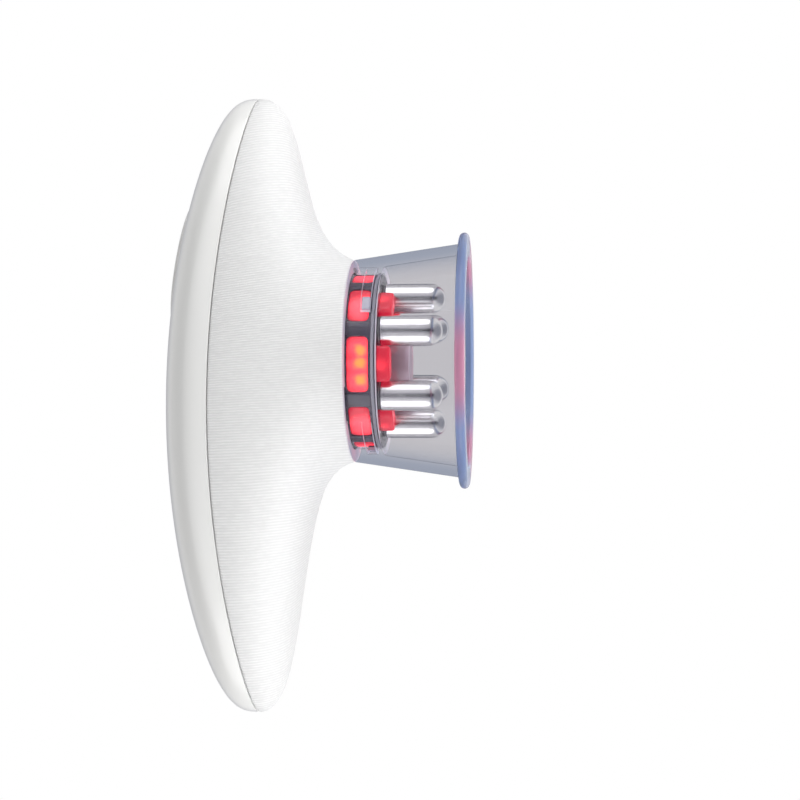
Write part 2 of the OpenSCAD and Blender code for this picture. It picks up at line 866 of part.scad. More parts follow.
module eccentric_weight() {
    color("goldenrod") translate([shaker_x + shaker_length + weight_gap, 0, shaker_z]) rotate([0, 90, 0])
        difference() {
            union() {
                tube_sector(weight_r, shaft_r + hub_wall / 2, 0, weight_length, -80, 160);
                cylinder(r = shaft_r + hub_wall, h = weight_length, $fn = 48);
            }
            translate([0, 0, -cut]) cylinder(r = shaft_r + fit_gap, h = weight_length + 2 * cut, $fn = 24);
        }
}

// Middle angle and width of each light window, three groups of a wide one between two narrow ones
windows = [
    for (group = [0 : lug_count - 1])
        each [
            [window_centre + 120 * group, wide_window],
            [window_centre + 120 * group + window_pitch, narrow_window],
            [window_centre + 120 * group - window_pitch, narrow_window]
        ]
];

// Outline of an upright rectangle with rounded corners, as points
function rounded_rect(width, height, corner) = [
    for (q = [0 : 3], a = [0 : corner_step : 90])
        [(width / 2 - corner) * (q == 0 || q == 3 ? 1 : -1), (height / 2 - corner) * (q < 2 ? 1 : -1)]
            + corner * [cos(90 * q + a), sin(90 * q + a)]
];

// The windows as blocks between two radii, each smaller than its opening by shrink all round
module window_blocks(outer, inner, shrink) {
    for (w = windows) rotate([0, 0, w[0]]) translate([inner, 0, window_z + window_height / 2])
        rotate([90, 0, 90]) linear_extrude(outer - inner) polygon(rounded_rect(
            2 * (base_r * sin(w[1] / 2) - shrink), window_height - 2 * shrink, window_corner - shrink));
}

// The three bayonet lugs, each with its root in the wall
module lugs(outer, inner, grow) {
    for (k = [0 : lug_count - 1])
        tube_sector(outer, inner, lug_z - grow, lug_z + lug_height + grow,
            lug_angle + 120 * k - lug_width / 2 - grow, lug_width + 2 * grow);
}

module head_base() {
    color([0.25, 0.24, 0.28]) rotate([0, 0, head_turn]) difference() {
        union() {
            difference() {
                tube(base_r, base_inner_r, plate_height, base_top);
                window_blocks(base_r + cut, base_inner_r * cos(wide_window / 2) - cut, 0);
            }
            tube(base_inner_r + cut / 2, base_ring_r, base_ring_z, base_top);
            lugs(base_r + lug_depth, base_inner_r + window_liner, 0);
        }
        tube(base_r + cut, bore_r - 2 * (seal_r + seal_gap), seal_z - seal_r - fit_gap,
            seal_z + seal_r + fit_gap);
        rotate([0, 0, -head_turn]) ring_screw_places() translate([0, 0, web_top - ring_screw_length])
            cylinder(r = screw_r + fit_gap, h = ring_screw_length, $fn = 32);
    }
}

module base_screws() {
    color("silver") translate([0, 0, web_top]) ring_screw_places() screw(ring_screw_length);
}

module rod_places() {
    for (k = [0 : rod_count - 1]) rod_place(k) children();
}

module rod_place(k) {
    rotate([0, 0, head_turn + 60 * k]) translate([rod_circle, 0, 0]) children();
}

module head_plate() {
    color([0.2, 0.19, 0.23]) difference() {
        translate([0, 0, plate_height]) cylinder(r = plate_r, h = plate_thick);
        rod_places() translate([0, 0, plate_height - cut])
            cylinder(r = stud_r + fit_gap, h = plate_thick + 2 * cut, $fn = 32);
        for (k = [0 : rod_count - 1])
            lens_block(k, lens_outer_r + fit_gap, lens_inner_r - fit_gap, 0.2,
                plate_height - cut, plate_top + cut);
        translate([0, 0, plate_height - cut])
            cylinder(r = port_neck_r + fit_gap, h = plate_thick + 2 * cut);
    }
}

// Curved block between two rods
module lens_block(k, outer, inner, grow, low, high) {
    half = lens_half_angle + grow;
    tube_sector(outer, inner, low, high, head_turn + 60 * k + 30 - half, 2 * half);
}

module led_lens(k) {
    face = plate_height - lens_proud;
    half = lens_bevel * 0.6;
    color("crimson") {
        lens_block(k, lens_outer_r - half, lens_inner_r + half, -1.5 * lens_bevel, face, plate_height);
        lens_block(k, lens_outer_r, lens_inner_r, 0, face + lens_bevel, plate_top + window_liner);
    }
}

module light_window_ring() {
    high = window_z + window_height;
    outer = base_inner_r - fit_gap;
    color("red") rotate([0, 0, head_turn]) difference() {
        union() {
            tube(outer, outer - window_liner, window_z - 2 * fit_gap, high + window_liner);
            intersection() {
                tube(base_r - fit_gap, outer - window_liner / 2, window_z - cut, high + cut);
                window_blocks(base_r + cut, base_inner_r * cos(wide_window / 2) - cut, fit_gap);
            }
        }
        lugs(base_r + cut, outer - 2 * fit_gap, fit_gap);
    }
}

module led_board() {
    color("white")
        tube(base_inner_r - window_liner - 4 * fit_gap, led_board_bore, led_board_z,
            led_board_z + led_board_thick);
}

module leds() {
    color("tomato") {
        for (k = [0 : rod_count - 1])
            rotate([0, 0, head_turn + 60 * k + 30]) translate([rod_circle - led_size.x / 2, 0, 0])
                led(led_size);
        for (w = windows)
            rotate([0, 0, head_turn + w[0]])
                translate([base_inner_r - window_liner - soft_gap - side_led_size.x, 0, 0])
                    led(side_led_size);
    }
}

// One lamp, hung from the light board
module led(size) {
    translate([0, -size.y / 2, led_board_z - size.z]) cube(size);
}

module electrode(k) {
    top = plate_height - washer_thick;
    groove = rod_tip + rod_r + tiny;
    color("silver") rod_place(k) {
        difference() {
            union() {
                translate([0, 0, rod_tip + rod_r]) cylinder(r = rod_r, h = top - rod_tip - rod_r);
                translate([0, 0, rod_tip + rod_r]) sphere(r = rod_r);
            }
            tube(rod_r + cut, rod_r - rod_groove, groove, groove + rod_groove_width);
        }
        translate([0, 0, top - tiny]) cylinder(r = stud_r, h = stud_top - top, $fn = 32);
    }
}

module electrode_washers() {
    color("black") rod_places() translate([0, 0, plate_height - washer_thick]) difference() {
        cylinder(r = rod_r - soft_gap, h = washer_thick);
        translate([0, 0, -cut]) cylinder(r = stud_r + fit_gap, h = washer_thick + 2 * cut, $fn = 32);
    }
}

module electrode_nuts() {
    color("goldenrod") rod_places() translate([0, 0, plate_top]) difference() {
        cylinder(r = nut_r, h = nut_thick, $fn = 6);
        translate([0, 0, -cut]) cylinder(r = stud_r + fit_gap, h = nut_thick + 2 * cut, $fn = 32);
    }
}

module suction_port() {
    low = plate_height - port_length;
    color([0.85, 0.75, 0.85, 0.6]) difference() {
        union() {
            translate([0, 0, low]) cylinder(r = port_r, h = port_length);
            translate([0, 0, plate_height - tiny]) cylinder(r = port_neck_r, h = plate_thick + cut);
            translate([0, 0, plate_top]) cylinder(r = port_stem_r, h = port_top - plate_top);
        }
        translate([0, 0, low - cut]) cylinder(r = port_bore_r, h = port_top - low + 2 * cut);
        translate([0, 0, low - cut]) cylinder(r = port_r - port_rim, h = port_rim + filter_thick + cut);
    }
}

module port_filter() {
    color("white") translate([0, 0, plate_height - port_length + port_rim])
        cylinder(r = port_r - port_rim - fit_gap, h = filter_thick - fit_gap);
}

module cup_seal() {
    color("gray") translate([0, 0, seal_z]) rotate_extrude($fn = 128)
        translate([bore_r - seal_gap - seal_r, 0]) circle(r = seal_r, $fn = 32);
}

function cone_r(z) = mouth_r + cup_wall - cone_slope * (z - lip_floor);

// One twist track: an entry with a swept side, and the level run to the locked end
module twist_track(k) {
    high = cup_height + cut;
    free = lug_angle + twist_angle;
    run_from = lug_angle - lug_width / 2 - 1;
    rotate([0, 0, head_turn + 120 * k]) {
        tube_sector(bore_r + track_depth, bore_r - cut, track_z, track_z + track_height,
            run_from, free - run_from);
        rotate([0, 0, free]) intersection() {
            tube(bore_r + track_depth + 2 * fit_gap, bore_r - cut, track_z, high);
            rotate([90, 0, 90]) linear_extrude(2 * bore_r) entry_outline(high);
        }
    }
}

// Outline of a track's entry, seen along the cup's radius and centred on the freed lug, with one
// side swept like an S
module entry_outline(high) {
    half = (bore_r + lug_depth) * sin(lug_width / 2) + entry_slack;
    low = track_z + fit_gap;
    swept = [
        for (i = [0 : 6])
            let (t = i / 6, bend = t * t * (3 - 2 * t))
            [half + entry_sweep * bend, low + (high - low) * t]
    ];
    polygon(concat(swept, [[entry_draft - half, high], [-half, low]]));
}

module suction_cup() {
    shoulder = plate_height + body_gap;
    color([0.78, 0.8, 0.88, 0.5]) difference() {
        rotate_extrude($fn = 128) polygon([
            [mouth_r, lip_floor],
            [mouth_r + cup_wall, lip_floor],
            [cup_top_r + cup_chamfer * cone_slope, cup_height - cup_chamfer],
            [cup_top_r - cup_chamfer, cup_height],
            [bore_r, cup_height],
            [bore_r, shoulder],
            [cone_r(shoulder - shoulder_drop) - cup_wall, shoulder - shoulder_drop]
        ]);
        for (k = [0 : lug_count - 1]) twist_track(k);
    }
}

module cup_lip() {
    inner = mouth_r + lip_foot;
    color([0.55, 0.6, 0.8, 0.6]) rotate_extrude($fn = 128) difference() {
        union() {
            translate([lip_r - bead_r, bead_r]) circle(r = bead_r, $fn = 48);
            translate([inner, 0]) square([lip_r - bead_r - inner, lip_thick]);
            translate([mouth_r, lip_foot]) square([inner, lip_floor - lip_foot]);
        }
        translate([mouth_r - cut, lip_floor]) square([cup_wall + fit_gap + cut, lip_thick]);
        translate([lip_r, 0]) square([lip_r, lip_thick]);
    }
}

back_shell();
front_shell();
control_panel();
power_button();
level_button();
heat_button();
status_lights();
button_board();
board_spacers();
main_board();
board_screws();
inner_frame();
battery();
battery_cradle();
charging_board();
charging_socket();
pump_head();
pump_motor();
suction_hose();
release_valve();
vibration_motor();
motor_clip();
eccentric_weight();
head_base();
base_screws();
head_plate();
light_window_ring();
led_board();
leds();
led_lens(0);  // led_lens_1
led_lens(1);  // led_lens_2
led_lens(2);  // led_lens_3
led_lens(3);  // led_lens_4
led_lens(4);  // led_lens_5
led_lens(5);  // led_lens_6
electrode(0);  // electrode_1
electrode(1);  // electrode_2
electrode(2);  // electrode_3
electrode(3);  // electrode_4
electrode(4);  // electrode_5
electrode(5);  // electrode_6
electrode_washers();
electrode_nuts();
suction_port();
port_filter();
cup_seal();
suction_cup();
cup_lip();
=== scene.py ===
"""Dressed scene of a handheld suction massager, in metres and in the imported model's own frame."""
import math

import bmesh
import bpy
import numpy as np
from bpy.props import FloatProperty, FloatVectorProperty, PointerProperty
from bpy.types import Operator, Panel, PropertyGroup
from mathutils import Matrix, Vector
from mathutils.bvhtree import BVHTree
from mathutils.interpolate import poly_3d_calc


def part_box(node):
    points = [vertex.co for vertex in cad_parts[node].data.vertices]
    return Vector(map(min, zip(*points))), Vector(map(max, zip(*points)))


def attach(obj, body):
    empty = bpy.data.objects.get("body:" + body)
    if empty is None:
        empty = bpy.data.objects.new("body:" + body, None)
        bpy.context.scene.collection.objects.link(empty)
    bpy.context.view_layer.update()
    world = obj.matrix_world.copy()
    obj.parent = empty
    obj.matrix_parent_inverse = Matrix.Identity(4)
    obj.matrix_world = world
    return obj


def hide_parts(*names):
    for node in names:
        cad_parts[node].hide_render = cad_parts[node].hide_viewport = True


bl_info = {
    "name": "Suction massager",
    "version": (1, 0, 0),
    "blender": (4, 5, 0),
    "location": "3D View > Sidebar > Massager",
    "description": "Shapes, finishes and studio of a handheld suction massager",
    "category": "Object",
}

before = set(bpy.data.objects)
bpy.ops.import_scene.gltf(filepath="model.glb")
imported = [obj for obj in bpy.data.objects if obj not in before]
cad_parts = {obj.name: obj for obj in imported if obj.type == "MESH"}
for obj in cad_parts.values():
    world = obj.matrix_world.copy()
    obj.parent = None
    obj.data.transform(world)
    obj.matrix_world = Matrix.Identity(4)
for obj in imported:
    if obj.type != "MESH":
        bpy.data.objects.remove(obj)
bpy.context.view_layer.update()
MM = 0.001
TURN = 2 * math.pi
BACK_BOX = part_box("back_shell")
CUP_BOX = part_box("suction_cup")
LIP_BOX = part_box("cup_lip")
SOCKET_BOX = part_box("charging_socket")

# Gaps of the solids' fits: pressed, round the panel's pieces, and between pieces that turn
FIT_GAP, EASY_GAP, BODY_GAP = 0.05 * MM, 0.15 * MM, 0.2 * MM

# Places of the lugs and windows round the head, where the cup's tracks follow the lugs
LUG_COUNT, LUG_ANGLE, HALF_LUG = 3, math.radians(190), math.radians(5)
WINDOW_GROUPS, WINDOW_MIDDLE, WINDOW_PITCH = 3, math.radians(270), math.radians(42)
ROD_COUNT = 6


# Sizes and colours that a user would change

class PodSizes(PropertyGroup):
    """Sizes of the two shells that make the pod."""

    length: FloatProperty(
        name="Length", description="From nose tip to tail tip",
        default=BACK_BOX[1][0] - BACK_BOX[0][0], unit="LENGTH")
    width: FloatProperty(
        name="Width", description="Across the hand", default=BACK_BOX[1][1] - BACK_BOX[0][1], unit="LENGTH")
    middle: FloatProperty(
        name="Middle", description="Middle of the pod along its length, from the cup's axis",
        default=(BACK_BOX[1][0] + BACK_BOX[0][0]) / 2, unit="LENGTH")
    plan_power: FloatProperty(
        name="Plan fullness", description="Power of the outline, where 2 is an ellipse", default=2.07)
    tip_height: FloatProperty(
        name="Tip height", description="Height of the seam at both tips", default=0.062, unit="LENGTH")
    seam_rise: FloatProperty(
        name="Seam rise", description="How much higher the seam runs at the middle", default=0.0083,
        unit="LENGTH")
    seam_power: FloatProperty(
        name="Seam power", description="Power of the seam's arch", default=1.28)
    dome_height: FloatProperty(
        name="Dome height", description="Height of the back above the seam", default=0.016, unit="LENGTH")
    dome_power: FloatProperty(
        name="Dome fullness", description="Power of the dome, where 2 is an ellipse", default=3.1)
    wall: FloatProperty(name="Wall", description="Wall of both shells", default=0.0022, unit="LENGTH")
    seam_gap: FloatProperty(
        name="Seam gap", description="Width of the line between the shells", default=0.00025, unit="LENGTH")
    tongue: FloatProperty(
        name="Tongue", description="Depth of the tongue inside the seam", default=0.0016, unit="LENGTH")
    drop: FloatVectorProperty(
        name="Drop", description="Straight drop below the seam at nose, tail and flanks", size=3,
        default=(0.015, 0.0154, 0.013), unit="LENGTH")
    reach: FloatVectorProperty(
        name="Reach", description="Reach of the neck's curve towards nose, tail and flanks", size=3,
        default=(0.022, 0.0236, 0.0124), unit="LENGTH")
    slope: FloatVectorProperty(
        name="Slope", description="Slope at the neck towards nose, tail and flanks", size=3,
        default=(math.radians(68.6), math.radians(76.9), math.radians(77)), unit="ROTATION")


class PanelSizes(PropertyGroup):
    """Sizes of the control panel and its buttons."""

    length: FloatProperty(name="Length", description="Length of the panel", default=0.044, unit="LENGTH")
    width: FloatProperty(name="Width", description="Width of the panel", default=0.042, unit="LENGTH")
    middle: FloatProperty(
        name="Middle", description="Middle of the panel, from the cup's axis", default=0.026, unit="LENGTH")
    proud: FloatProperty(
        name="Proud", description="Height of the panel above the back", default=0.0009, unit="LENGTH")
    sunk: FloatProperty(
        name="Sunk", description="Depth of the panel in its recess", default=0.00095, unit="LENGTH")
    button_r: FloatProperty(
        name="Button radius", description="Radius of each button", default=0.0046, unit="LENGTH")
    button_pitch: FloatProperty(
        name="Button pitch", description="Spacing of the buttons", default=0.012, unit="LENGTH")
    button_proud: FloatProperty(
        name="Button proud", description="Height of a button above the panel", default=0.0004,
        unit="LENGTH")
    light_r: FloatProperty(
        name="Light radius", description="Radius of each status light", default=0.0009, unit="LENGTH")
    light_pitch: FloatProperty(
        name="Light pitch", description="Spacing of the status lights", default=0.005, unit="LENGTH")


class CupSizes(PropertyGroup):
    """Sizes of the clear cup and its lip."""

    height: FloatProperty(
        name="Height", description="Height of the cup's top edge", default=CUP_BOX[1][2], unit="LENGTH")
    top_r: FloatProperty(
        name="Top radius", description="Radius at the top edge", default=0.0299, unit="LENGTH")
    mouth_r: FloatProperty(
        name="Mouth radius", description="Radius of the mouth", default=0.0313, unit="LENGTH")
    wall: FloatProperty(name="Wall", description="Wall of the cone", default=0.0033, unit="LENGTH")
    foot: FloatProperty(
        name="Foot", description="Height of the cone's foot", default=CUP_BOX[0][2], unit="LENGTH")
    bore_r: FloatProperty(
        name="Bore radius", description="Radius of the skirt's bore", default=0.026, unit="LENGTH")
    lip_r: FloatProperty(
        name="Lip radius", description="Outer radius of the lip", default=LIP_BOX[1][0], unit="LENGTH")
    lip_thick: FloatProperty(
        name="Lip thickness", description="Thickness of the lip", default=LIP_BOX[1][2], unit="LENGTH")
    track_depth: FloatProperty(
        name="Track depth", description="Depth of the twist tracks", default=0.0015, unit="LENGTH")
    track_z: FloatProperty(
        name="Track floor", description="Height of a track's floor", default=0.0269, unit="LENGTH")
    track_height: FloatProperty(
        name="Track height", description="Height of a track's level run", default=0.0028, unit="LENGTH")
    twist: FloatProperty(
        name="Twist", description="Turn from locked to free", default=math.radians(46), unit="ROTATION")


class HeadSizes(PropertyGroup):
    """Sizes of the head inside the cup."""

    turn: FloatProperty(
        name="Turn", description="Turn of the head about the cup's axis", default=math.radians(-4),
        unit="ROTATION")
    base_r: FloatProperty(
        name="Base radius", description="Radius of the base", default=0.0256, unit="LENGTH")
    base_wall: FloatProperty(
        name="Base wall", description="Wall of the base", default=0.0022, unit="LENGTH")
    plate_z: FloatProperty(
        name="Plate height", description="Height of the plate's front face", default=0.0252, unit="LENGTH")
    plate_thick: FloatProperty(
        name="Plate thickness", description="Thickness of the plate", default=0.002, unit="LENGTH")
    rod_r: FloatProperty(
        name="Rod radius", description="Radius of each rod", default=0.00435, unit="LENGTH")
    rod_circle: FloatProperty(
        name="Rod circle", description="Radius of the circle of rods", default=0.0184, unit="LENGTH")
    rod_tip: FloatProperty(
        name="Rod tip", description="Height of the rod tips", default=0.007, unit="LENGTH")
    window_z: FloatProperty(
        name="Window height", description="Height of the windows' lower edge", default=0.0274,
        unit="LENGTH")
    window_height: FloatProperty(
        name="Window size", description="Size of the windows along the axis", default=0.006, unit="LENGTH")
    wide_window: FloatProperty(
        name="Wide window", description="Width of a wide window", default=math.radians(36), unit="ROTATION")
    narrow_window: FloatProperty(
        name="Narrow window", description="Width of a narrow window", default=math.radians(27),
        unit="ROTATION")
    lens_proud: FloatProperty(
        name="Lens proud", description="Height of a red lens off the plate", default=0.0036, unit="LENGTH")
    port_r: FloatProperty(
        name="Port radius", description="Radius of the port", default=0.0075, unit="LENGTH")
    port_length: FloatProperty(
        name="Port length", description="Length of the port off the plate", default=0.008, unit="LENGTH")


class FinishColours(PropertyGroup):
    """Colours of the main finishes."""

    gloss: FloatVectorProperty(
        name="Gloss white", description="Back shell", subtype="COLOR", default=(0.93, 0.93, 0.915))
    ribbed: FloatVectorProperty(
        name="Ribbed white", description="Front shell", subtype="COLOR", default=(0.82, 0.82, 0.82))
    clear: FloatVectorProperty(
        name="Clear cup", description="Tint of the cup, seen square on", subtype="COLOR",
        default=(0.52, 0.51, 0.54))
    cup_edge: FloatVectorProperty(
        name="Cup edge", description="Tint of the cup where its wall is seen edge on", subtype="COLOR",
        default=(0.33, 0.36, 0.44))
    lip: FloatVectorProperty(
        name="Lip blue", description="Tint of the lip", subtype="COLOR", default=(0.32, 0.42, 0.68))
    dark: FloatVectorProperty(
        name="Head dark", description="Base and plate", subtype="COLOR", default=(0.05, 0.042, 0.075))
    glow_edge: FloatVectorProperty(
        name="Glow edge", description="Red away from a lamp", subtype="COLOR", default=(0.2, 0.003, 0.014))
    glow: FloatVectorProperty(
        name="Glow", description="Red near a lamp", subtype="COLOR", default=(0.9, 0.05, 0.07))
    hot: FloatVectorProperty(
        name="Hot", description="Colour over a lamp", subtype="COLOR", default=(0.9, 0.2, 0.035))
    steel: FloatVectorProperty(
        name="Rod steel", description="Rods", subtype="COLOR", default=(0.86, 0.86, 0.87))


class StudioSettings(PropertyGroup):
    """Light, dark sides and floor of the studio."""

    ambient: FloatProperty(name="Ambient", description="Light from all round", default=0.42)
    key: FloatProperty(
        name="Key", description="Power of the low lamp towards the nose", default=6.0, unit="POWER")
    fill: FloatProperty(
        name="Fill", description="Power of the low lamp towards the tail", default=5.8, unit="POWER")
    table: FloatProperty(
        name="Table", description="Power of the lamp under the table", default=2.1, unit="POWER")
    top: FloatProperty(name="Top", description="Power of the lamp overhead", default=2.4, unit="POWER")
    gloss: FloatProperty(
        name="Gloss", description="Power of the lamps that show in reflections alone", default=4.0,
        unit="POWER")
    floor_lift: FloatProperty(
        name="Floor lift", description="Brightness that the floor has of its own", default=0.42)
    dark: FloatProperty(
        name="Dark flags", description="Brightness of the studio's dark sides in reflections", default=0.04)
    floor: FloatVectorProperty(
        name="Floor", description="Colour of the floor", subtype="COLOR", default=(0.9, 0.9, 0.9))


class MassagerSettings(PropertyGroup):
    """All settings of the massager."""

    pod: PointerProperty(type=PodSizes)
    panel: PointerProperty(type=PanelSizes)
    cup: PointerProperty(type=CupSizes)
    head: PointerProperty(type=HeadSizes)
    finish: PointerProperty(type=FinishColours)
    studio: PointerProperty(type=StudioSettings)


# Shader maths

class Value:
    """A shader socket, on which Python's operators build Math nodes."""

    def __init__(self, graph, socket):
        self.graph = graph
        self.socket = socket

    def math(self, operation, first, second=0.0):
        return self.graph.add("ShaderNodeMath", {"operation": operation}, {0: first, 1: second})

    def __add__(self, other):
        return self.math("ADD", self, other)

    def __sub__(self, other):
        return self.math("SUBTRACT", self, other)

    def __rsub__(self, other):
        return self.math("SUBTRACT", other, self)

    def __mul__(self, other):
        return self.math("MULTIPLY", self, other)

    def __truediv__(self, other):
        return self.math("DIVIDE", self, other)

    def __gt__(self, other):
        return self.math("GREATER_THAN", self, other)

    def __lt__(self, other):
        return self.math("LESS_THAN", self, other)

    def __abs__(self):
        return self.math("ABSOLUTE", self)

    __radd__ = __add__
    __rmul__ = __mul__

    def largest(self, other):
        return self.math("MAXIMUM", self, other)

    def smallest(self, other):
        return self.math("MINIMUM", self, other)

    def sine(self):
        return self.math("SINE", self)

    def floor(self):
        return self.math("FLOOR", self)

    def ramp(self, low, high):
        """0 below low, 1 above high and smooth between."""
        return self.graph.add(
            "ShaderNodeMapRange", {"interpolation_type": "SMOOTHSTEP"},
            {"Value": self, "From Min": low, "From Max": high})


class Graph:
    """Nodes of one material or of the world."""

    def __init__(self, tree):
        self.tree = tree
        tree.nodes.clear()

    def add(self, kind, settings=None, sockets=None, output=0):
        """Adds a node with its settings first and then the values or links of its sockets."""
        node = self.tree.nodes.new(kind)
        for name, setting in (settings or {}).items():
            setattr(node, name, setting)
        for name, value in (sockets or {}).items():
            if isinstance(value, Value):
                self.tree.links.new(value.socket, node.inputs[name])
            else:
                node.inputs[name].default_value = value
        return Value(self, node.outputs[output]) if len(node.outputs) else None

    def place(self, frame_of="Object"):
        """X, Y and Z of the shaded point in the object's frame, in metres, and the point itself."""
        point = self.add("ShaderNodeTexCoord", output=frame_of)
        axes = self.tree.nodes.new("ShaderNodeSeparateXYZ")
        self.tree.links.new(point.socket, axes.inputs[0])
        return [Value(self, axes.outputs[i]) for i in range(3)] + [point]

    def nearest(self, point, spots):
        """Distance from the point to the nearest of some spots."""
        away = None
        for spot in spots:
            this = self.add(
                "ShaderNodeVectorMath", {"operation": "DISTANCE"}, {0: point, 1: spot}, output="Value")
            away = this if away is None else away.smallest(this)
        return away

    def scaled(self, point, scale):
        return self.add("ShaderNodeVectorMath", {"operation": "MULTIPLY"}, {0: point, 1: scale})

    def noise(self, point, scale, detail=3.0):
        return self.add("ShaderNodeTexNoise", None, {"Vector": point, "Scale": scale, "Detail": detail})

    def mix(self, factor, first, second):
        """Blend of two colours."""
        colours = [c if isinstance(c, Value) else (*c, 1.0) for c in (first, second)]
        return self.add(
            "ShaderNodeMix", {"data_type": "RGBA"}, {0: factor, 6: colours[0], 7: colours[1]}, output=2)

    def bump(self, height, distance, strength=1.0):
        return self.add(
            "ShaderNodeBump", None, {"Strength": strength, "Distance": distance, "Height": height})

    def surface(self, sockets):
        """Ends the graph in one Principled shader."""
        shader = self.add("ShaderNodeBsdfPrincipled", None, sockets)
        self.add("ShaderNodeOutputMaterial", None, {"Surface": shader})


def material(name):
    """A new material and its empty graph."""
    made = bpy.data.materials.new(name)
    made.use_nodes = True
    return made, Graph(made.node_tree)


def shade(colour, share):
    """A colour made darker, or paler where the share is over 1."""
    return [share * c for c in colour]


# Finishes

def gloss_white(colour):
    """Painted gloss plastic with faint flow unevenness and fine dust-level roughness."""
    made, graph = material("gloss_white")
    *_, point = graph.place()
    broad = graph.noise(point, 24.0)
    fine = graph.noise(point, 900.0, 2.0)
    graph.surface({
        "Base Color": graph.mix(broad, shade(colour, 0.975), colour),
        "Roughness": broad * 0.05 + 0.28,
        "Coat Weight": 0.3,
        "Coat Roughness": 0.12,
        "Normal": graph.bump(fine, 0.01 * MM, 0.4),
    })
    return made


def ribbed_white(colour):
    """Matt grip finish, with fine broken ribs that run across the pod and lean more towards its nose."""
    made, graph = material("ribbed_white")
    x, y, z, point = graph.place()
    pitch = 0.82 * MM
    drift = graph.noise(point, 40.0, 1.0)
    lean = x.ramp(-30 * MM, 45 * MM) * 0.2 + 0.04
    row = (x + z * lean) / pitch + drift
    ridge = (row * TURN).sine() * 0.5 + 0.5
    # Each row breaks at places of its own
    along = graph.add("ShaderNodeCombineXYZ", None, {0: row.floor() * 3.7, 1: y * 420.0, 2: z * 420.0})
    broken = graph.noise(along, 1.0, 1.0).ramp(0.3, 0.6)
    grain = graph.noise(point, 2600.0, 1.0)
    height = ridge * (broken * 0.6 + 0.4) + grain * 0.15
    graph.surface({
        # The ribs are painted paler on their ridges and darker in their valleys: a painted highlight and
        # painted shade on top of the bump
        "Base Color": graph.mix(height, shade(colour, 0.9), shade(colour, 1.06)),
        "Roughness": grain * 0.1 + 0.5,
        "Normal": graph.bump(height, 0.07 * MM, 0.8),
    })
    return made


def moulded(name, colour, roughness, grain=0.02, coat=0.0):
    """Moulded plastic or rubber with a fine spark-eroded grain."""
    made, graph = material(name)
    *_, point = graph.place()
    broad = graph.noise(point, 60.0)
    fine = graph.noise(point, 1800.0, 2.0)
    graph.surface({
        "Base Color": graph.mix(broad, shade(colour, 0.9), colour),
        "Roughness": fine * 0.12 + (roughness - 0.06),
        "Coat Weight": coat,
        "Normal": graph.bump(fine, grain * MM, 0.6),
    })
    return made


def base_dark(colour, lug_r):
    """Dark gloss plastic, with pale lugs that stand out past lug_r."""
    made, graph = material("base_dark")
    x, y, _, point = graph.place()
    lug = (x * x + y * y > lug_r * lug_r)
    broad = graph.noise(point, 60.0)
    fine = graph.noise(point, 1800.0, 2.0)
    body = graph.mix(broad, shade(colour, 0.9), colour)
    graph.surface({
        "Base Color": graph.mix(lug, body, (0.5, 0.5, 0.58)),
        "Roughness": fine * 0.12 + 0.16,
        "Coat Weight": 0.5,
        "Normal": graph.bump(fine, 0.004 * MM, 0.6),
    })
    return made


def brushed(name, colour, roughness, stretch=(1.0, 1.0, 12.0), bump=0.01):
    """Metal with fine marks drawn out along one axis."""
    made, graph = material(name)
    *_, point = graph.place()
    marks = graph.noise(graph.scaled(point, [2400.0 / s for s in stretch]), 1.0)
    broad = graph.noise(point, 120.0, 2.0)
    graph.surface({
        "Base Color": graph.mix(marks, shade(colour, 0.88), colour),
        "Metallic": 1.0,
        "Roughness": marks * 0.14 + broad * 0.08 + (roughness - 0.11),
        "Normal": graph.bump(marks, bump * MM, 0.5),
    })
    return made


def frosted_port(colour):
    """Cloudy moulding with the faint ripple of its mould."""
    made, graph = material("port_clear")
    *_, point = graph.place()
    ripples = graph.noise(point, 140.0, 1.0)
    graph.surface({
        "Base Color": graph.mix(ripples, shade(colour, 0.95), colour),
        "Transmission Weight": 0.5,
        "IOR": 1.2,
        "Roughness": ripples * 0.04 + 0.3,
        "Coat Weight": 0.4,
        "Coat Roughness": 0.04,
        "Normal": graph.bump(ripples, 0.004 * MM, 0.4),
    })
    return made


def soft_lip(colour, glow, spots):
    """Translucent rubber, on which the red light of the wide windows is painted near them, as a pink tint and
    a faint glow.
    """
    made, graph = material("lip_blue")
    *_, point = graph.place()
    ripples = graph.noise(point, 140.0, 1.0)
    # Painted light: the spill of the windows' red light, mixed toward pink in the base colour and added as
    # emission
    lit = 1.0 - graph.nearest(point, spots).ramp(5 * MM, 20 * MM)
    graph.surface({
        "Base Color": graph.mix(lit * 0.7, colour, glow),
        "Transmission Weight": 0.75,
        "IOR": 1.15,
        "Roughness": ripples * 0.04 + 0.28,
        "Coat Weight": 0.4,
        "Coat Roughness": 0.05,
        "Emission Color": graph.mix(lit, (0, 0, 0), shade(glow, 0.04)),
        "Emission Strength": 1.0,
        "Normal": graph.bump(ripples, 0.006 * MM, 0.4),
    })
    return made


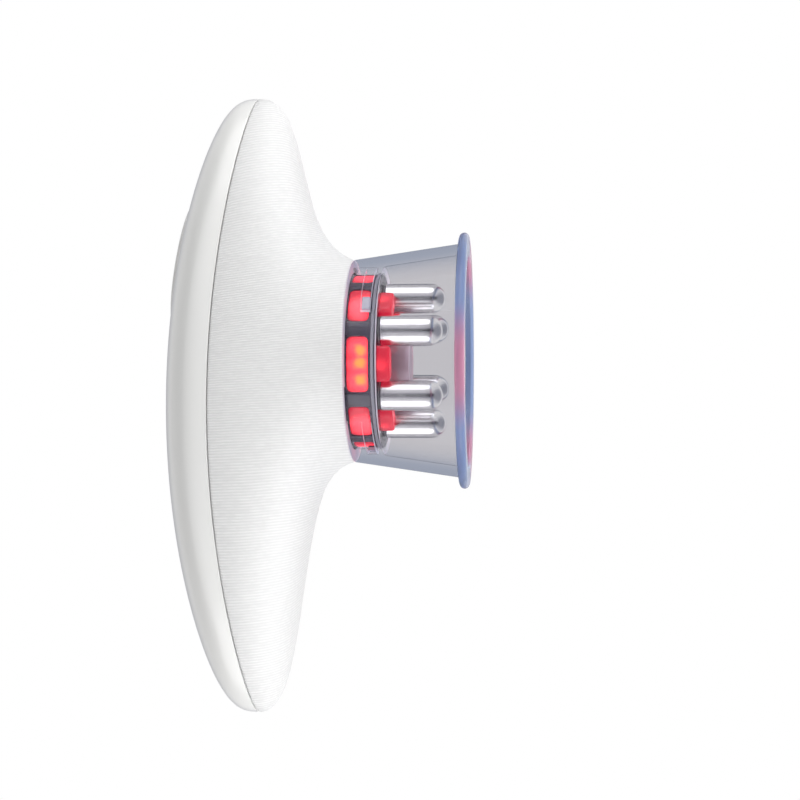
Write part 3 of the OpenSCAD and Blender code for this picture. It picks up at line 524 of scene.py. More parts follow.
def clear_cup(colour, edge, skirt_z):
    """The cup's clear finish, whose steps and track walls above skirt_z are frosted and carry a faint painted
    glow, which stands in for the highlights that their edges catch.

    Only the outer face is tinted, so that light is coloured once on its way through the wall.
    """
    made, graph = material("cup_clear")
    _, _, z, point = graph.place()
    ripples = graph.noise(point, 140.0, 1.0)
    normal = graph.add("ShaderNodeTexCoord", output="Normal")
    flat = graph.scaled(point, (1.0, 1.0, 0.0))
    outward = graph.add("ShaderNodeVectorMath", {"operation": "NORMALIZE"}, {0: flat})
    turned_out = graph.add(
        "ShaderNodeVectorMath", {"operation": "DOT_PRODUCT"}, {0: outward, 1: normal}, output="Value")
    # The normal is turned to the viewer where a ray meets a face from within the wall
    from_within = graph.add("ShaderNodeNewGeometry", output="Backfacing")
    outside = turned_out * (1.0 - 2.0 * from_within) > 0.5
    above = z.ramp(skirt_z - 1.2 * MM, skirt_z - 0.8 * MM)
    step = (1.0 - abs(turned_out).ramp(0.35, 0.75)) * above
    grazing = graph.add("ShaderNodeLayerWeight", None, {"Blend": 0.5}, output="Facing")
    tint = graph.mix(outside, (1, 1, 1), graph.mix(grazing.ramp(0.3, 0.7), colour, edge))
    bump = graph.bump(ripples, 0.004 * MM, 0.4)
    hardly_bent = 1.002
    glassy = graph.add("ShaderNodeBsdfPrincipled", None, {
        "Base Color": tint, "Transmission Weight": 1.0, "IOR": hardly_bent,
        "Roughness": ripples * 0.02 + 0.03, "Coat Weight": 0.1, "Coat Roughness": 0.04, "Normal": bump})
    # Frosted face whose pale emission is painted light: a glow standing in for the highlights on the steps
    # and track edges
    frosted_and_painted_glow = graph.add("ShaderNodeBsdfPrincipled", None, {
        "Base Color": (0.88, 0.88, 0.95, 1.0), "Transmission Weight": 0.35, "IOR": hardly_bent,
        "Roughness": ripples * 0.1 + 0.35, "Normal": bump,
        "Emission Color": (0.7, 0.7, 0.8, 1.0), "Emission Strength": 0.3})
    both = graph.add("ShaderNodeMixShader", None, {0: step * 0.9, 1: glassy, 2: frosted_and_painted_glow})
    graph.add("ShaderNodeOutputMaterial", None, {"Surface": both})
    return made


def glowing(name, colours, hot_spots, warm_spots, radius, strength):
    """Lit diffuser over lamps, whose spots are given with the radius that their light reaches."""
    made, graph = material(name)
    *_, point = graph.place()
    cloud = graph.noise(point, 360.0, 2.0)
    blur = cloud * 0.7 - 0.35
    warm = graph.nearest(point, hot_spots + warm_spots) * (1 / radius) + blur
    edge, middle, hot = colours
    lit = graph.mix(1.0 - warm.ramp(0.35, 1.6), edge, middle)
    if hot_spots:
        hottest = graph.nearest(point, hot_spots) * (1 / radius) + blur
        lit = graph.mix(1.0 - hottest.ramp(0.1, 0.65), lit, hot)
    graph.surface({
        "Base Color": (*shade(middle, 0.5), 1.0),
        "Roughness": cloud * 0.1 + 0.2,
        "Emission Color": lit,
        "Emission Strength": strength,
        "Normal": graph.bump(cloud, 0.02 * MM, 0.4),
    })
    return made


# Meshes

def skin(rings, closed=False):
    """Points and quads over a list of rings that all have as many points."""
    n = len(rings[0])
    count = len(rings)
    faces = []
    for j in range(count if closed else count - 1):
        near, far = j * n, (j + 1) % count * n
        faces += [(near + i, near + (i + 1) % n, far + (i + 1) % n, far + i) for i in range(n)]
    return np.concatenate(rings), faces


def angles(count=192):
    return np.linspace(0, TURN, count, endpoint=False)


def about_axis(r, a, z):
    """Points at a radius, an angle and a height about the Z axis, each a number or an array."""
    return np.column_stack(np.broadcast_arrays(r * np.cos(a), r * np.sin(a), z))


def turned(profile, steps=96, closed=False):
    """A form turned about Z from (radius, height) pairs."""
    a = angles(steps)
    return skin([about_axis(r, a, z) for r, z in profile], closed)


def rounded(corners, radius=0.2 * MM, steps=3):
    """A profile whose corners are rounded; a corner may carry its own radius as a third number."""
    points = []
    count = len(corners)
    for i, corner in enumerate(corners):
        here = Vector(corner[:2])
        r = corner[2] if len(corner) > 2 else radius
        before = Vector(corners[i - 1][:2]) - here
        after = Vector(corners[(i + 1) % count][:2]) - here
        r = min(r, before.length * 0.45, after.length * 0.45)
        if r < 1e-7 or here.x < 1e-7:
            points.append(tuple(here))
            continue
        start, end = here + before.normalized() * r, here + after.normalized() * r
        for j in range(steps + 1):
            t = j / steps
            points.append(tuple((1 - t) ** 2 * start + 2 * t * (1 - t) * here + t * t * end))
    return points


def placed(name, mesh):
    """A new object of the scene with this mesh."""
    piece = bpy.data.objects.new(name, mesh)
    bpy.context.scene.collection.objects.link(piece)
    return piece


def shape(name, points, faces, place=None):
    """A mesh object from points and faces, with doubled points merged and its faces turned outwards."""
    mesh = bpy.data.meshes.new(name)
    mesh.from_pydata([tuple(p) for p in points], [], faces)
    form = bmesh.new()
    form.from_mesh(mesh)
    bmesh.ops.remove_doubles(form, verts=form.verts, dist=2e-7)
    bmesh.ops.recalc_face_normals(form, faces=form.faces)
    form.to_mesh(mesh)
    form.free()
    if place is not None:
        mesh.transform(place)
    return placed(name, mesh)


def merged(name, parts):
    """One mesh object from several, which are removed."""
    form = bmesh.new()
    for part in parts:
        form.from_mesh(part.data)
    mesh = bpy.data.meshes.new(name)
    form.to_mesh(mesh)
    form.free()
    for part in parts:
        discard(part)
    return placed(name, mesh)


def discard(piece):
    mesh = piece.data
    bpy.data.objects.remove(piece)
    bpy.data.meshes.remove(mesh)


def settled(piece):
    """Applies a piece's modifiers."""
    bpy.context.view_layer.update()
    seen = piece.evaluated_get(bpy.context.evaluated_depsgraph_get())
    mesh = bpy.data.meshes.new_from_object(seen)
    old = piece.data
    piece.modifiers.clear()
    piece.data = mesh
    bpy.data.meshes.remove(old)


def smoothed(piece, degrees=35):
    """Shades a piece smooth, except at edges sharper than this."""
    piece.data.shade_smooth()
    piece.data.set_sharp_from_angle(angle=math.radians(degrees))
    return piece


def carved(piece, cutter, operation="DIFFERENCE"):
    """Cuts a piece by another, and gives the faces that are left the normals they had before."""
    whole = piece.data.copy()
    tree = BVHTree.FromPolygons([v.co for v in whole.vertices], [tuple(f.vertices) for f in whole.polygons])
    step = piece.modifiers.new("cut", "BOOLEAN")
    step.operation = operation
    step.object = cutter
    step.solver = "EXACT"
    settled(piece)
    discard(cutter)
    mesh = smoothed(piece).data
    normals = [tuple(n.vector) for n in mesh.corner_normals]
    for face in mesh.polygons:
        for loop, vertex in zip(face.loop_indices, face.vertices):
            spot = mesh.vertices[vertex].co
            found, direction, index, away = tree.find_nearest(spot)
            if away > 1e-6 or abs(direction.dot(face.normal)) < 0.9:
                continue
            corners = whole.polygons[index].vertices
            weights = poly_3d_calc([whole.vertices[c].co for c in corners], found)
            blend = sum((w * whole.vertices[c].normal for w, c in zip(weights, corners)), Vector())
            if blend.length > 0.5 and blend.dot(face.normal) > 0.9:
                normals[loop] = tuple(blend.normalized())
    mesh.normals_split_custom_set(normals)
    bpy.data.meshes.remove(whole)
    return piece


def dressed(piece, finish, slot, body, *nodes):
    """Gives a piece its finish, its body and the nodes that it stands for."""
    piece.data.materials.clear()
    piece.data.materials.append(finish)
    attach(piece, body)
    if nodes:
        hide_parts(*nodes)
    return piece


def rounded_outline(width, height, corner, steps=5, along=10):
    """Outline of a rounded rectangle about the origin, with points along its sides too."""
    corner = min(corner, width / 2 - 1e-6, height / 2 - 1e-6)
    points = []
    for quarter in range(4):
        a = quarter * math.pi / 2
        cx = (width / 2 - corner) * (1 if quarter in (0, 3) else -1)
        cy = (height / 2 - corner) * (1 if quarter in (0, 1) else -1)
        for j in range(steps + 1):
            b = a + j / steps * math.pi / 2
            points.append((cx + corner * math.cos(b), cy + corner * math.sin(b)))
    full = []
    for here, there in zip(points, points[1:] + points[:1]):
        full.append(here)
        gap = math.dist(here, there)
        more = along if gap > width * 0.3 else 1
        full += [(here[0] + (there[0] - here[0]) * k / more, here[1] + (there[1] - here[1]) * k / more)
                 for k in range(1, more)]
    return np.array(full)


def bent_block(width, height, corner, layers, bend):
    """A rounded block whose layers, each an inset and a depth, are put in place by a bending rule."""
    outline = rounded_outline(width, height, corner)
    rings = []
    for inset, depth in layers:
        shrink = np.array([(width - 2 * inset) / width, (height - 2 * inset) / height])
        rings.append(bend(outline * shrink, depth))
    first, last = layers[0], layers[-1]
    inner = [bend(outline * share, first[1]) for share in (0.0, 0.5)]
    outer = [bend(outline * share, last[1]) for share in (0.5, 0.0)]
    return skin(inner + rings + outer)


class PodForm:
    """The rules that give the pod its shape."""

    def __init__(self, pod, cup):
        self.pod = pod
        self.half_length = pod.length / 2
        self.half_width = pod.width / 2
        self.neck_r = cup.top_r
        self.neck_z = cup.height + BODY_GAP

    def seam_z(self, x):
        """Height of the seam."""
        share = np.maximum(0, 1 - ((x - self.pod.middle) / self.half_length) ** 2)
        return self.pod.tip_height + self.pod.seam_rise * share ** self.pod.seam_power

    def outline(self, a, inset=0.0):
        """X and Y of the pod's outline in plan."""
        power = 2 / self.pod.plan_power
        x = (self.half_length - inset) * np.sign(np.cos(a)) * np.abs(np.cos(a)) ** power + self.pod.middle
        y = (self.half_width - inset) * np.sign(np.sin(a)) * np.abs(np.sin(a)) ** power
        return x, y

    def seam(self, a, inset, drop):
        """Ring along the seam, moved inwards and down."""
        x, y = self.outline(a, inset)
        return np.column_stack((x, y, self.seam_z(x) - drop))

    def eased_edge(self, a, drop, way):
        """Two rings that round a shell's edge at the seam; way is 1 for the front shell, -1 for the back."""
        return [self.seam(a, 0.25 * MM, drop), self.seam(a, 0.07 * MM, drop + way * 0.07 * MM)]

    def dome_z(self, x, y, inset=0.0):
        """Height of the back over a place in plan."""
        power = self.pod.plan_power
        u = (np.abs(x - self.pod.middle) / (self.half_length - inset)) ** power
        v = (np.abs(y) / (self.half_width - inset)) ** power
        r = (u + v) ** (self.pod.dome_power / power)
        rise = np.maximum(0, 1 - r) ** (1 / self.pod.dome_power)
        return self.seam_z(x) + (self.pod.dome_height - inset) * rise

    def tilt(self, x):
        """Lean of the back's normal towards the nose."""
        return -math.atan((self.dome_z(x + MM, 0.0) - self.dome_z(x - MM, 0.0)) / (2 * MM))

    def on_dome(self, x, y=0.0, tilt_at=None):
        """Frame on the back, with Z along the dome's normal."""
        tilt = self.tilt(x if tilt_at is None else tilt_at)
        return Matrix.Translation((x, y, float(self.dome_z(x, y)))) @ Matrix.Rotation(tilt, 4, "Y")

    def flank(self, a, t, inset, lift, neck_inset, neck_lift):
        """Ring of the front shell at t from 0 at the seam to 1 at the neck."""
        weights = (np.maximum(np.cos(a), 0) ** 2, np.maximum(-np.cos(a), 0) ** 2, np.sin(a) ** 2)
        drop, reach, slope = (
            sum(w * value for w, value in zip(weights, values))
            for values in (self.pod.drop, self.pod.reach, self.pod.slope))
        start = self.seam(a, inset, self.pod.seam_gap)
        r = self.neck_r - neck_inset
        neck = about_axis(r, a, self.neck_z + neck_lift)
        start_pull = start - np.outer(drop - lift, (0, 0, 1))
        out = about_axis(np.cos(slope), a, np.sin(slope))
        neck_pull = neck + (reach + 0.4 * lift)[:, None] * out
        q = 1 - t
        return q ** 3 * start + 3 * q * q * t * start_pull + 3 * q * t * t * neck_pull + t ** 3 * neck


def settings():
    return bpy.context.scene.massager


def pod_form():
    return PodForm(settings().pod, settings().cup)


def inlet_cutter():
    """Long rounded block along Y, drawn along X, for the inlet's opening in the tail."""
    low, high = SOCKET_BOX
    width, height = (high[i] - low[i] + 2 * EASY_GAP for i in (1, 2))
    middle_z = (high[2] + low[2]) / 2
    outline = rounded_outline(width, height, height / 2, 8, 4)
    start, end = low[0] - 4 * MM, high[0] + MM
    rings = [np.column_stack((np.full(len(outline), x), outline[:, 0] * s, middle_z + outline[:, 1] * s))
             for x, s in ((start, 0), (start, 1), (end, 1), (end, 0))]
    return shape("slot", *skin(rings))


# Operators

class MASSAGER_OT_back_shell(Operator):
    """Make the gloss back shell, with the panel's recess and the inlet's opening."""

    bl_idname = "massager.back_shell"
    bl_label = "Back shell"

    def execute(self, context):
        pod, panel = settings().pod, settings().panel
        form = pod_form()
        a = angles()

        def hole(inset, depth):
            """Ring round the panel's place, inset from its recess and this deep."""
            x = panel.middle + (panel.length / 2 + EASY_GAP - inset) * np.cos(a)
            y = (panel.width / 2 + EASY_GAP - inset) * np.sin(a)
            return x, y, form.dome_z(x, y) - depth

        def between(first, last, share, inset):
            """Ring on the dome, or on its inner face, part of the way from one outline to another."""
            x, y = (f + (g - f) * share for f, g in zip(first[:2], last[:2]))
            return np.column_stack((x, y, form.dome_z(x, y, inset)))

        edge, recess = form.outline(a), hole(-0.2 * MM, 0)
        rings = form.eased_edge(a, 0, -1)
        rings += [between(edge, recess, share, 0) for share in np.linspace(0.024, 1, 60) ** 3]
        ledge, floor = 3 * MM, panel.sunk + FIT_GAP
        for inset, depth in ((-0.06 * MM, 0.04 * MM), (0, 0.2 * MM), (0, floor), (ledge, floor)):
            rings.append(np.column_stack(hole(inset, depth)))
        wall = pod.wall
        rim, inner = hole(ledge + EASY_GAP, 0), form.outline(a, wall)
        rings += [between(rim, inner, share, wall) for share in np.linspace(0, 1, 24) ** 0.33]
        tongue = wall / 2 + EASY_GAP / 2
        rings += [form.seam(a, wall, pod.tongue), form.seam(a, tongue, pod.tongue), form.seam(a, tongue, 0)]
        shell = shape("back_shell_gloss", *skin(rings, closed=True))
        carved(shell, inlet_cutter())
        dressed(shell, gloss_white(settings().finish.gloss), "gloss_white_shell", "handset", "back_shell")
        return {"FINISHED"}


class MASSAGER_OT_front_shell(Operator):
    """Make the ribbed front shell, which sweeps in to the neck."""

    bl_idname = "massager.front_shell"
    bl_label = "Front shell"

    def execute(self, context):
        pod = settings().pod
        form = pod_form()
        a = angles()
        gap, wall = pod.seam_gap, pod.wall
        neck_wall, neck_ledge, inner_lift = wall + 0.1 * MM, 1.2 * MM, 2 * MM
        rings = form.eased_edge(a, gap, 1)
        rings += [form.flank(a, t, 0, 0, 0, 0) for t in (0.007, *np.linspace(0.02, 0.985, 56), 0.995)]
        bore_r = settings().head.base_r + 0.6 * MM
        rings += [about_axis(r, a, form.neck_z) for r in (form.neck_r - 0.2 * MM, bore_r)]
        rings += [form.flank(a, t, wall, inner_lift, neck_wall, neck_ledge) for t in np.linspace(1, 0.06, 24)]
        rebate = wall / 2 - EASY_GAP / 2
        x, y = form.outline(a, rebate)
        rings.append(np.column_stack((x, y, rings[-1][:, 2])))
        rings.append(form.seam(a, rebate, gap))
        shell = smoothed(shape("front_shell_ribbed", *skin(rings, closed=True)), 50)
        dressed(shell, ribbed_white(settings().finish.ribbed), "ribbed_white_shell", "handset",
                "front_shell")
        return {"FINISHED"}


class MASSAGER_OT_control_panel(Operator):
    """Make the oval control panel with its three status lights."""

    bl_idname = "massager.control_panel"
    bl_label = "Control panel"

    def execute(self, context):
        panel = settings().panel
        form = pod_form()
        a = angles(160)

        def ring(share, inset, lift):
            """Ring at a share of the panel's size, less an inset, and this far off the back."""
            x = panel.middle + (share * panel.length / 2 - inset) * np.cos(a)
            y = (share * panel.width / 2 - inset) * np.sin(a)
            return np.column_stack((x, y, form.dome_z(x, y) + lift))

        proud, low = panel.proud, -panel.sunk
        shares = (1e-9, 0.15, 0.3, 0.45, 0.6, 0.75, 0.88)
        rings = [ring(share, 0, proud) for share in shares]
        rings += [ring(1, inset * MM, proud - down * MM)
                  for inset, down in ((0.8, 0), (0.45, 0.06), (0.15, 0.3), (0, 0.62))]
        rings.append(ring(1, 0, low))
        rings += [ring(share, 0, low) for share in reversed(shares)]
        plate = shape("control_panel_plate", *skin(rings))
        cutters, lights = [], []
        deep = -4 * MM
        for k in (-1, 0, 1):
            spot = form.on_dome(panel.middle + k * panel.button_pitch)
            r = panel.button_r + EASY_GAP
            cutters.append(shape("hole", *turned(
                [(0, deep), (r, deep), (r, proud - 0.3 * MM), (r + 0.3 * MM, proud + 0.02 * MM),
                 (r + 0.5 * MM, proud + MM), (0, proud + MM)], 96), spot))
        light_row = 0.29 * panel.width
        for k in (-1, 0, 1):
            spot = form.on_dome(panel.middle + k * panel.light_pitch, light_row, panel.middle)
            r = panel.light_r + FIT_GAP
            cutters.append(shape("hole", *turned(
                [(0, deep), (r, deep), (r, proud + 2 * MM), (0, proud + 2 * MM)], 48), spot))
            r = panel.light_r
            lights.append(shape("light", *turned(
                [(0, deep), (r, deep), (r, proud - 0.12 * MM), (0.8 * r, proud + 0.02 * MM),
                 (0.45 * r, proud + 0.09 * MM), (0, proud + 0.1 * MM)], 48), spot))
        carved(plate, merged("holes", cutters))
        dressed(plate, moulded("panel_satin", (0.8, 0.8, 0.79), 0.3, 0.006, 0.3), "panel_white", "handset",
                "control_panel")
        pipes = smoothed(merged("status_light_pipes", lights))
        # The lamp's spot lies far off, so the lights keep one even colour
        blue = ((0.3, 0.6, 0.7), (0.5, 0.85, 0.9), (0.8, 1.0, 1.0))
        lit = glowing("pipe_light", blue, [], [tuple(LIP_BOX[0])], MM, 0.7)
        dressed(pipes, lit, "light_pipe", "handset", "status_lights")
        return {"FINISHED"}


def ribbon(points, width, height_at):
    """A thin raised stroke of constant width along flat points, laid on a curved top."""
    points = np.array(points)
    ahead = np.roll(points, -1, 0) - np.roll(points, 1, 0)
    ahead[0], ahead[-1] = points[1] - points[0], points[-1] - points[-2]
    side = np.column_stack((-ahead[:, 1], ahead[:, 0])) / np.linalg.norm(ahead, axis=1)[:, None]
    section = ((0.5, -0.05 * MM), (0.35, 0.04 * MM), (-0.35, 0.04 * MM), (-0.5, -0.05 * MM))
    rings = []
    for point, aside in zip(points, side):
        spots = [(point + aside * width * share, lift) for share, lift in section]
        rings.append(np.array([(x, y, height_at(np.hypot(x, y)) + lift) for (x, y), lift in spots]))
    points, faces = skin(rings)
    n = len(rings) * 4
    return points, faces + [(0, 1, 2, 3), (n - 4, n - 3, n - 2, n - 1)]


def power_sign(r):
    """Strokes of a broken ring with a bar in its gap."""
    arc = [(r * math.sin(b), r * math.cos(b)) for b in np.linspace(0.6, TURN - 0.6, 40)]
    return [arc, [(0, 0.25 * r), (0, 1.15 * r)]]


def level_sign(r):
    """Strokes of three bars that rise."""
    return [[(x * r, -0.8 * r), (x * r, top * r)] for x, top in ((-0.8, -0.2), (0, 0.35), (0.8, 0.9))]


def heat_sign(r):
    """Strokes of three waves side by side."""
    return [[(x * r + 0.2 * r * math.sin(4.5 * v), v * r) for v in np.linspace(-0.85, 0.85, 18)]
            for x in (-0.75, 0, 0.75)]


class MASSAGER_OT_buttons(Operator):
    """Make the three buttons, each with its sign."""

    bl_idname = "massager.buttons"
    bl_label = "Buttons"

    def execute(self, context):
        panel = settings().panel
        form = pod_form()
        r = panel.button_r
        top = panel.proud + panel.button_proud
        dish, dish_r = 0.35 * MM, r - 0.8 * MM
        flange, flange_r, flange_thick = -panel.sunk - 0.3 * MM, r + 0.8 * MM, 0.9 * MM
        stem_r, stem_gap = 1.5 * MM, 0.12 * MM

        def height(away):
            """Height of the dished top at a distance from the button's axis."""
            return top - dish * max(0.0, 1 - (away / dish_r) ** 2)

        silver = brushed("button_silver", (0.78, 0.78, 0.79), 0.28, (1, 1, 1), 0.004)
        white = moulded("button_white", (0.82, 0.82, 0.81), 0.32, 0.006, 0.2)
        ink = moulded("sign_grey", (0.1, 0.1, 0.11), 0.4, 0.002)
        for place, node, body, sign, finish, slot in (
                (1, "power_button", "power_key", power_sign, silver, "button_silver"),
                (0, "level_button", "level_key", level_sign, white, "button_white"),
                (-1, "heat_button", "heat_key", heat_sign, white, "button_white")):
            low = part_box(node)[0][2]
            spot = form.on_dome(panel.middle + place * panel.button_pitch)
            bottom = (low - spot.translation.z) / math.cos(form.tilt(spot.translation.x)) + stem_gap
            crown = [(s * dish_r, height(s * dish_r)) for s in np.linspace(0, 1, 10)]
            edge = [(r - inset * MM, top - down * MM)
                    for inset, down in ((0.45, 0.01), (0.18, 0.09), (0.03, 0.28), (0, 0.5))]
            foot = [(r, flange), (flange_r, flange), (flange_r, flange - flange_thick),
                    (stem_r, flange - flange_thick), (stem_r, bottom + 0.2 * MM),
                    (stem_r - 0.2 * MM, bottom), (0, bottom)]
            button = smoothed(shape(node + "_cap", *turned(crown + edge + foot, 96), spot), 40)
            dressed(button, finish, slot, body, node)
            strokes = [shape("stroke", *ribbon(stroke, 0.34 * MM, height), spot) for stroke in sign(1.7 * MM)]
            mark = smoothed(merged(node + "_sign", strokes))
            dressed(mark, ink, slot, body)
        return {"FINISHED"}


def wedge(rows, inner, outer, columns=24):
    """Block between two radii, whose rows each have a height, a first angle and a last angle."""
    rings = []
    for z, first, last in rows:
        b = np.linspace(first, last, columns)
        b = np.concatenate((b, b[::-1]))
        rings.append(about_axis(np.repeat((outer, inner), columns), b, z))
    points, faces = skin(rings)
    n = 2 * columns
    top = (len(rings) - 1) * n
    faces += [(base + j, base + j + 1, base + n - 2 - j, base + n - 1 - j)
              for base in (0, top) for j in range(columns - 1)]
    return points, faces


def lug_places(head):
    """Middle angle of each lug that holds the cup."""
    return [LUG_ANGLE + head.turn + TURN * k / LUG_COUNT for k in range(LUG_COUNT)]


def windows(head):
    """Middle angle and width of each light window, in groups of a wide one between two narrow ones."""
    for group in range(WINDOW_GROUPS):
        middle = head.turn + WINDOW_MIDDLE + TURN * group / WINDOW_GROUPS
        yield middle, head.wide_window
        yield middle + WINDOW_PITCH, head.narrow_window
        yield middle - WINDOW_PITCH, head.narrow_window


def tracks(cup, head):
    """Cutters of the twist tracks: their level runs, and the entries with one side swept like an S."""
    runs, entries = [], []
    inner, outer = cup.bore_r - MM, cup.bore_r + cup.track_depth
    entry_slack, entry_draft, entry_sweep = 0.45 * MM, MM, 7.5 * MM
    half = math.asin(math.sin(HALF_LUG) * (outer - BODY_GAP) / outer) + entry_slack / outer
    low, high = cup.track_z, cup.height + MM
    for lug in lug_places(head):
        start, free = lug - HALF_LUG - math.radians(1), lug + cup.twist
        runs.append(shape("run", *wedge(
            [(low, start, free), (low + cup.track_height, start, free)], inner, outer)))
        rows = []
        for t in np.linspace(0, 1, 16):
            swept = entry_sweep / outer * t * t * (3 - 2 * t)
            drafted = entry_draft / outer * t
            rows.append((low + 0.05 * MM + (high - low) * t, free - half + drafted, free + half + swept))
        entries.append(shape("entry", *wedge(rows, inner, outer + 0.1 * MM)))
    return merged("runs", runs), merged("entries", entries)


class MASSAGER_OT_cup(Operator):
    """Make the clear cup with its twist tracks, and the soft lip on its foot."""

    bl_idname = "massager.cup"
    bl_label = "Cup"

    def execute(self, context):
        cup, head, finish = settings().cup, settings().head, settings().finish
        slope = (cup.mouth_r + cup.wall - cup.top_r) / (cup.height - cup.foot)
        shoulder = head.plate_z + BODY_GAP
        low_shoulder = shoulder - 0.6 * MM
        inner = cup.mouth_r - slope * (low_shoulder - cup.foot)
        foot = cup.foot + 0.02 * MM
        profile = rounded([
            (cup.mouth_r, foot), (cup.mouth_r + cup.wall, foot), (cup.top_r, cup.height, 0.5 * MM),
            (cup.bore_r, cup.height, 0.3 * MM), (cup.bore_r, shoulder), (inner, low_shoulder, 0.5 * MM)])
        wall = shape("cup_clear", *turned(profile, 256, closed=True))
        for cutter in tracks(cup, head):
            carved(wall, cutter)
        clear = clear_cup(finish.clear, finish.cup_edge, head.plate_z)
        dressed(wall, clear, "cup_clear", "cup", "suction_cup")

        bead = cup.lip_thick / 2
        seat = cup.mouth_r + cup.wall + 0.07 * MM
        mouth = cup.mouth_r + 0.02 * MM
        rim = [(cup.lip_r - bead + bead * math.sin(b), bead - bead * math.cos(b))
               for b in np.linspace(0, math.pi, 13)]
        lip = [(mouth, 0.4 * MM), (cup.mouth_r + 0.4 * MM, 0.0), *rim, (seat + 0.2 * MM, cup.lip_thick),
               (seat, cup.lip_thick - 0.2 * MM), (seat, cup.foot), (mouth, cup.foot)]
        ring = smoothed(shape("cup_lip_soft", *turned(lip, 256, closed=True)))
        # Spots and colour of the red window light that is painted on the lip
        spots = [(cup.lip_r * math.cos(middle), cup.lip_r * math.sin(middle), bead)
                 for middle, width in windows(head) if width == head.wide_window]
        pink = (0.85, 0.32, 0.42)
        dressed(ring, soft_lip(finish.lip, pink, spots), "lip_blue", "cup", "cup_lip")
        return {"FINISHED"}


def round_wall(middle, z, radius):
    """Rule that bends a flat outline round the head's wall; depth is the radius."""
    return lambda outline, depth: about_axis(depth, middle + outline[:, 0] / radius, z + outline[:, 1])


def round_plate(middle, radius):
    """Rule that bends a flat outline round the head's axis; depth is the height."""
    return lambda outline, depth: about_axis(radius + outline[:, 1], middle + outline[:, 0] / radius, depth)


def reds():
    """Colours of a red light, from its edge to the spot over its lamp."""
    finish = settings().finish
    return finish.glow_edge, finish.glow, finish.hot


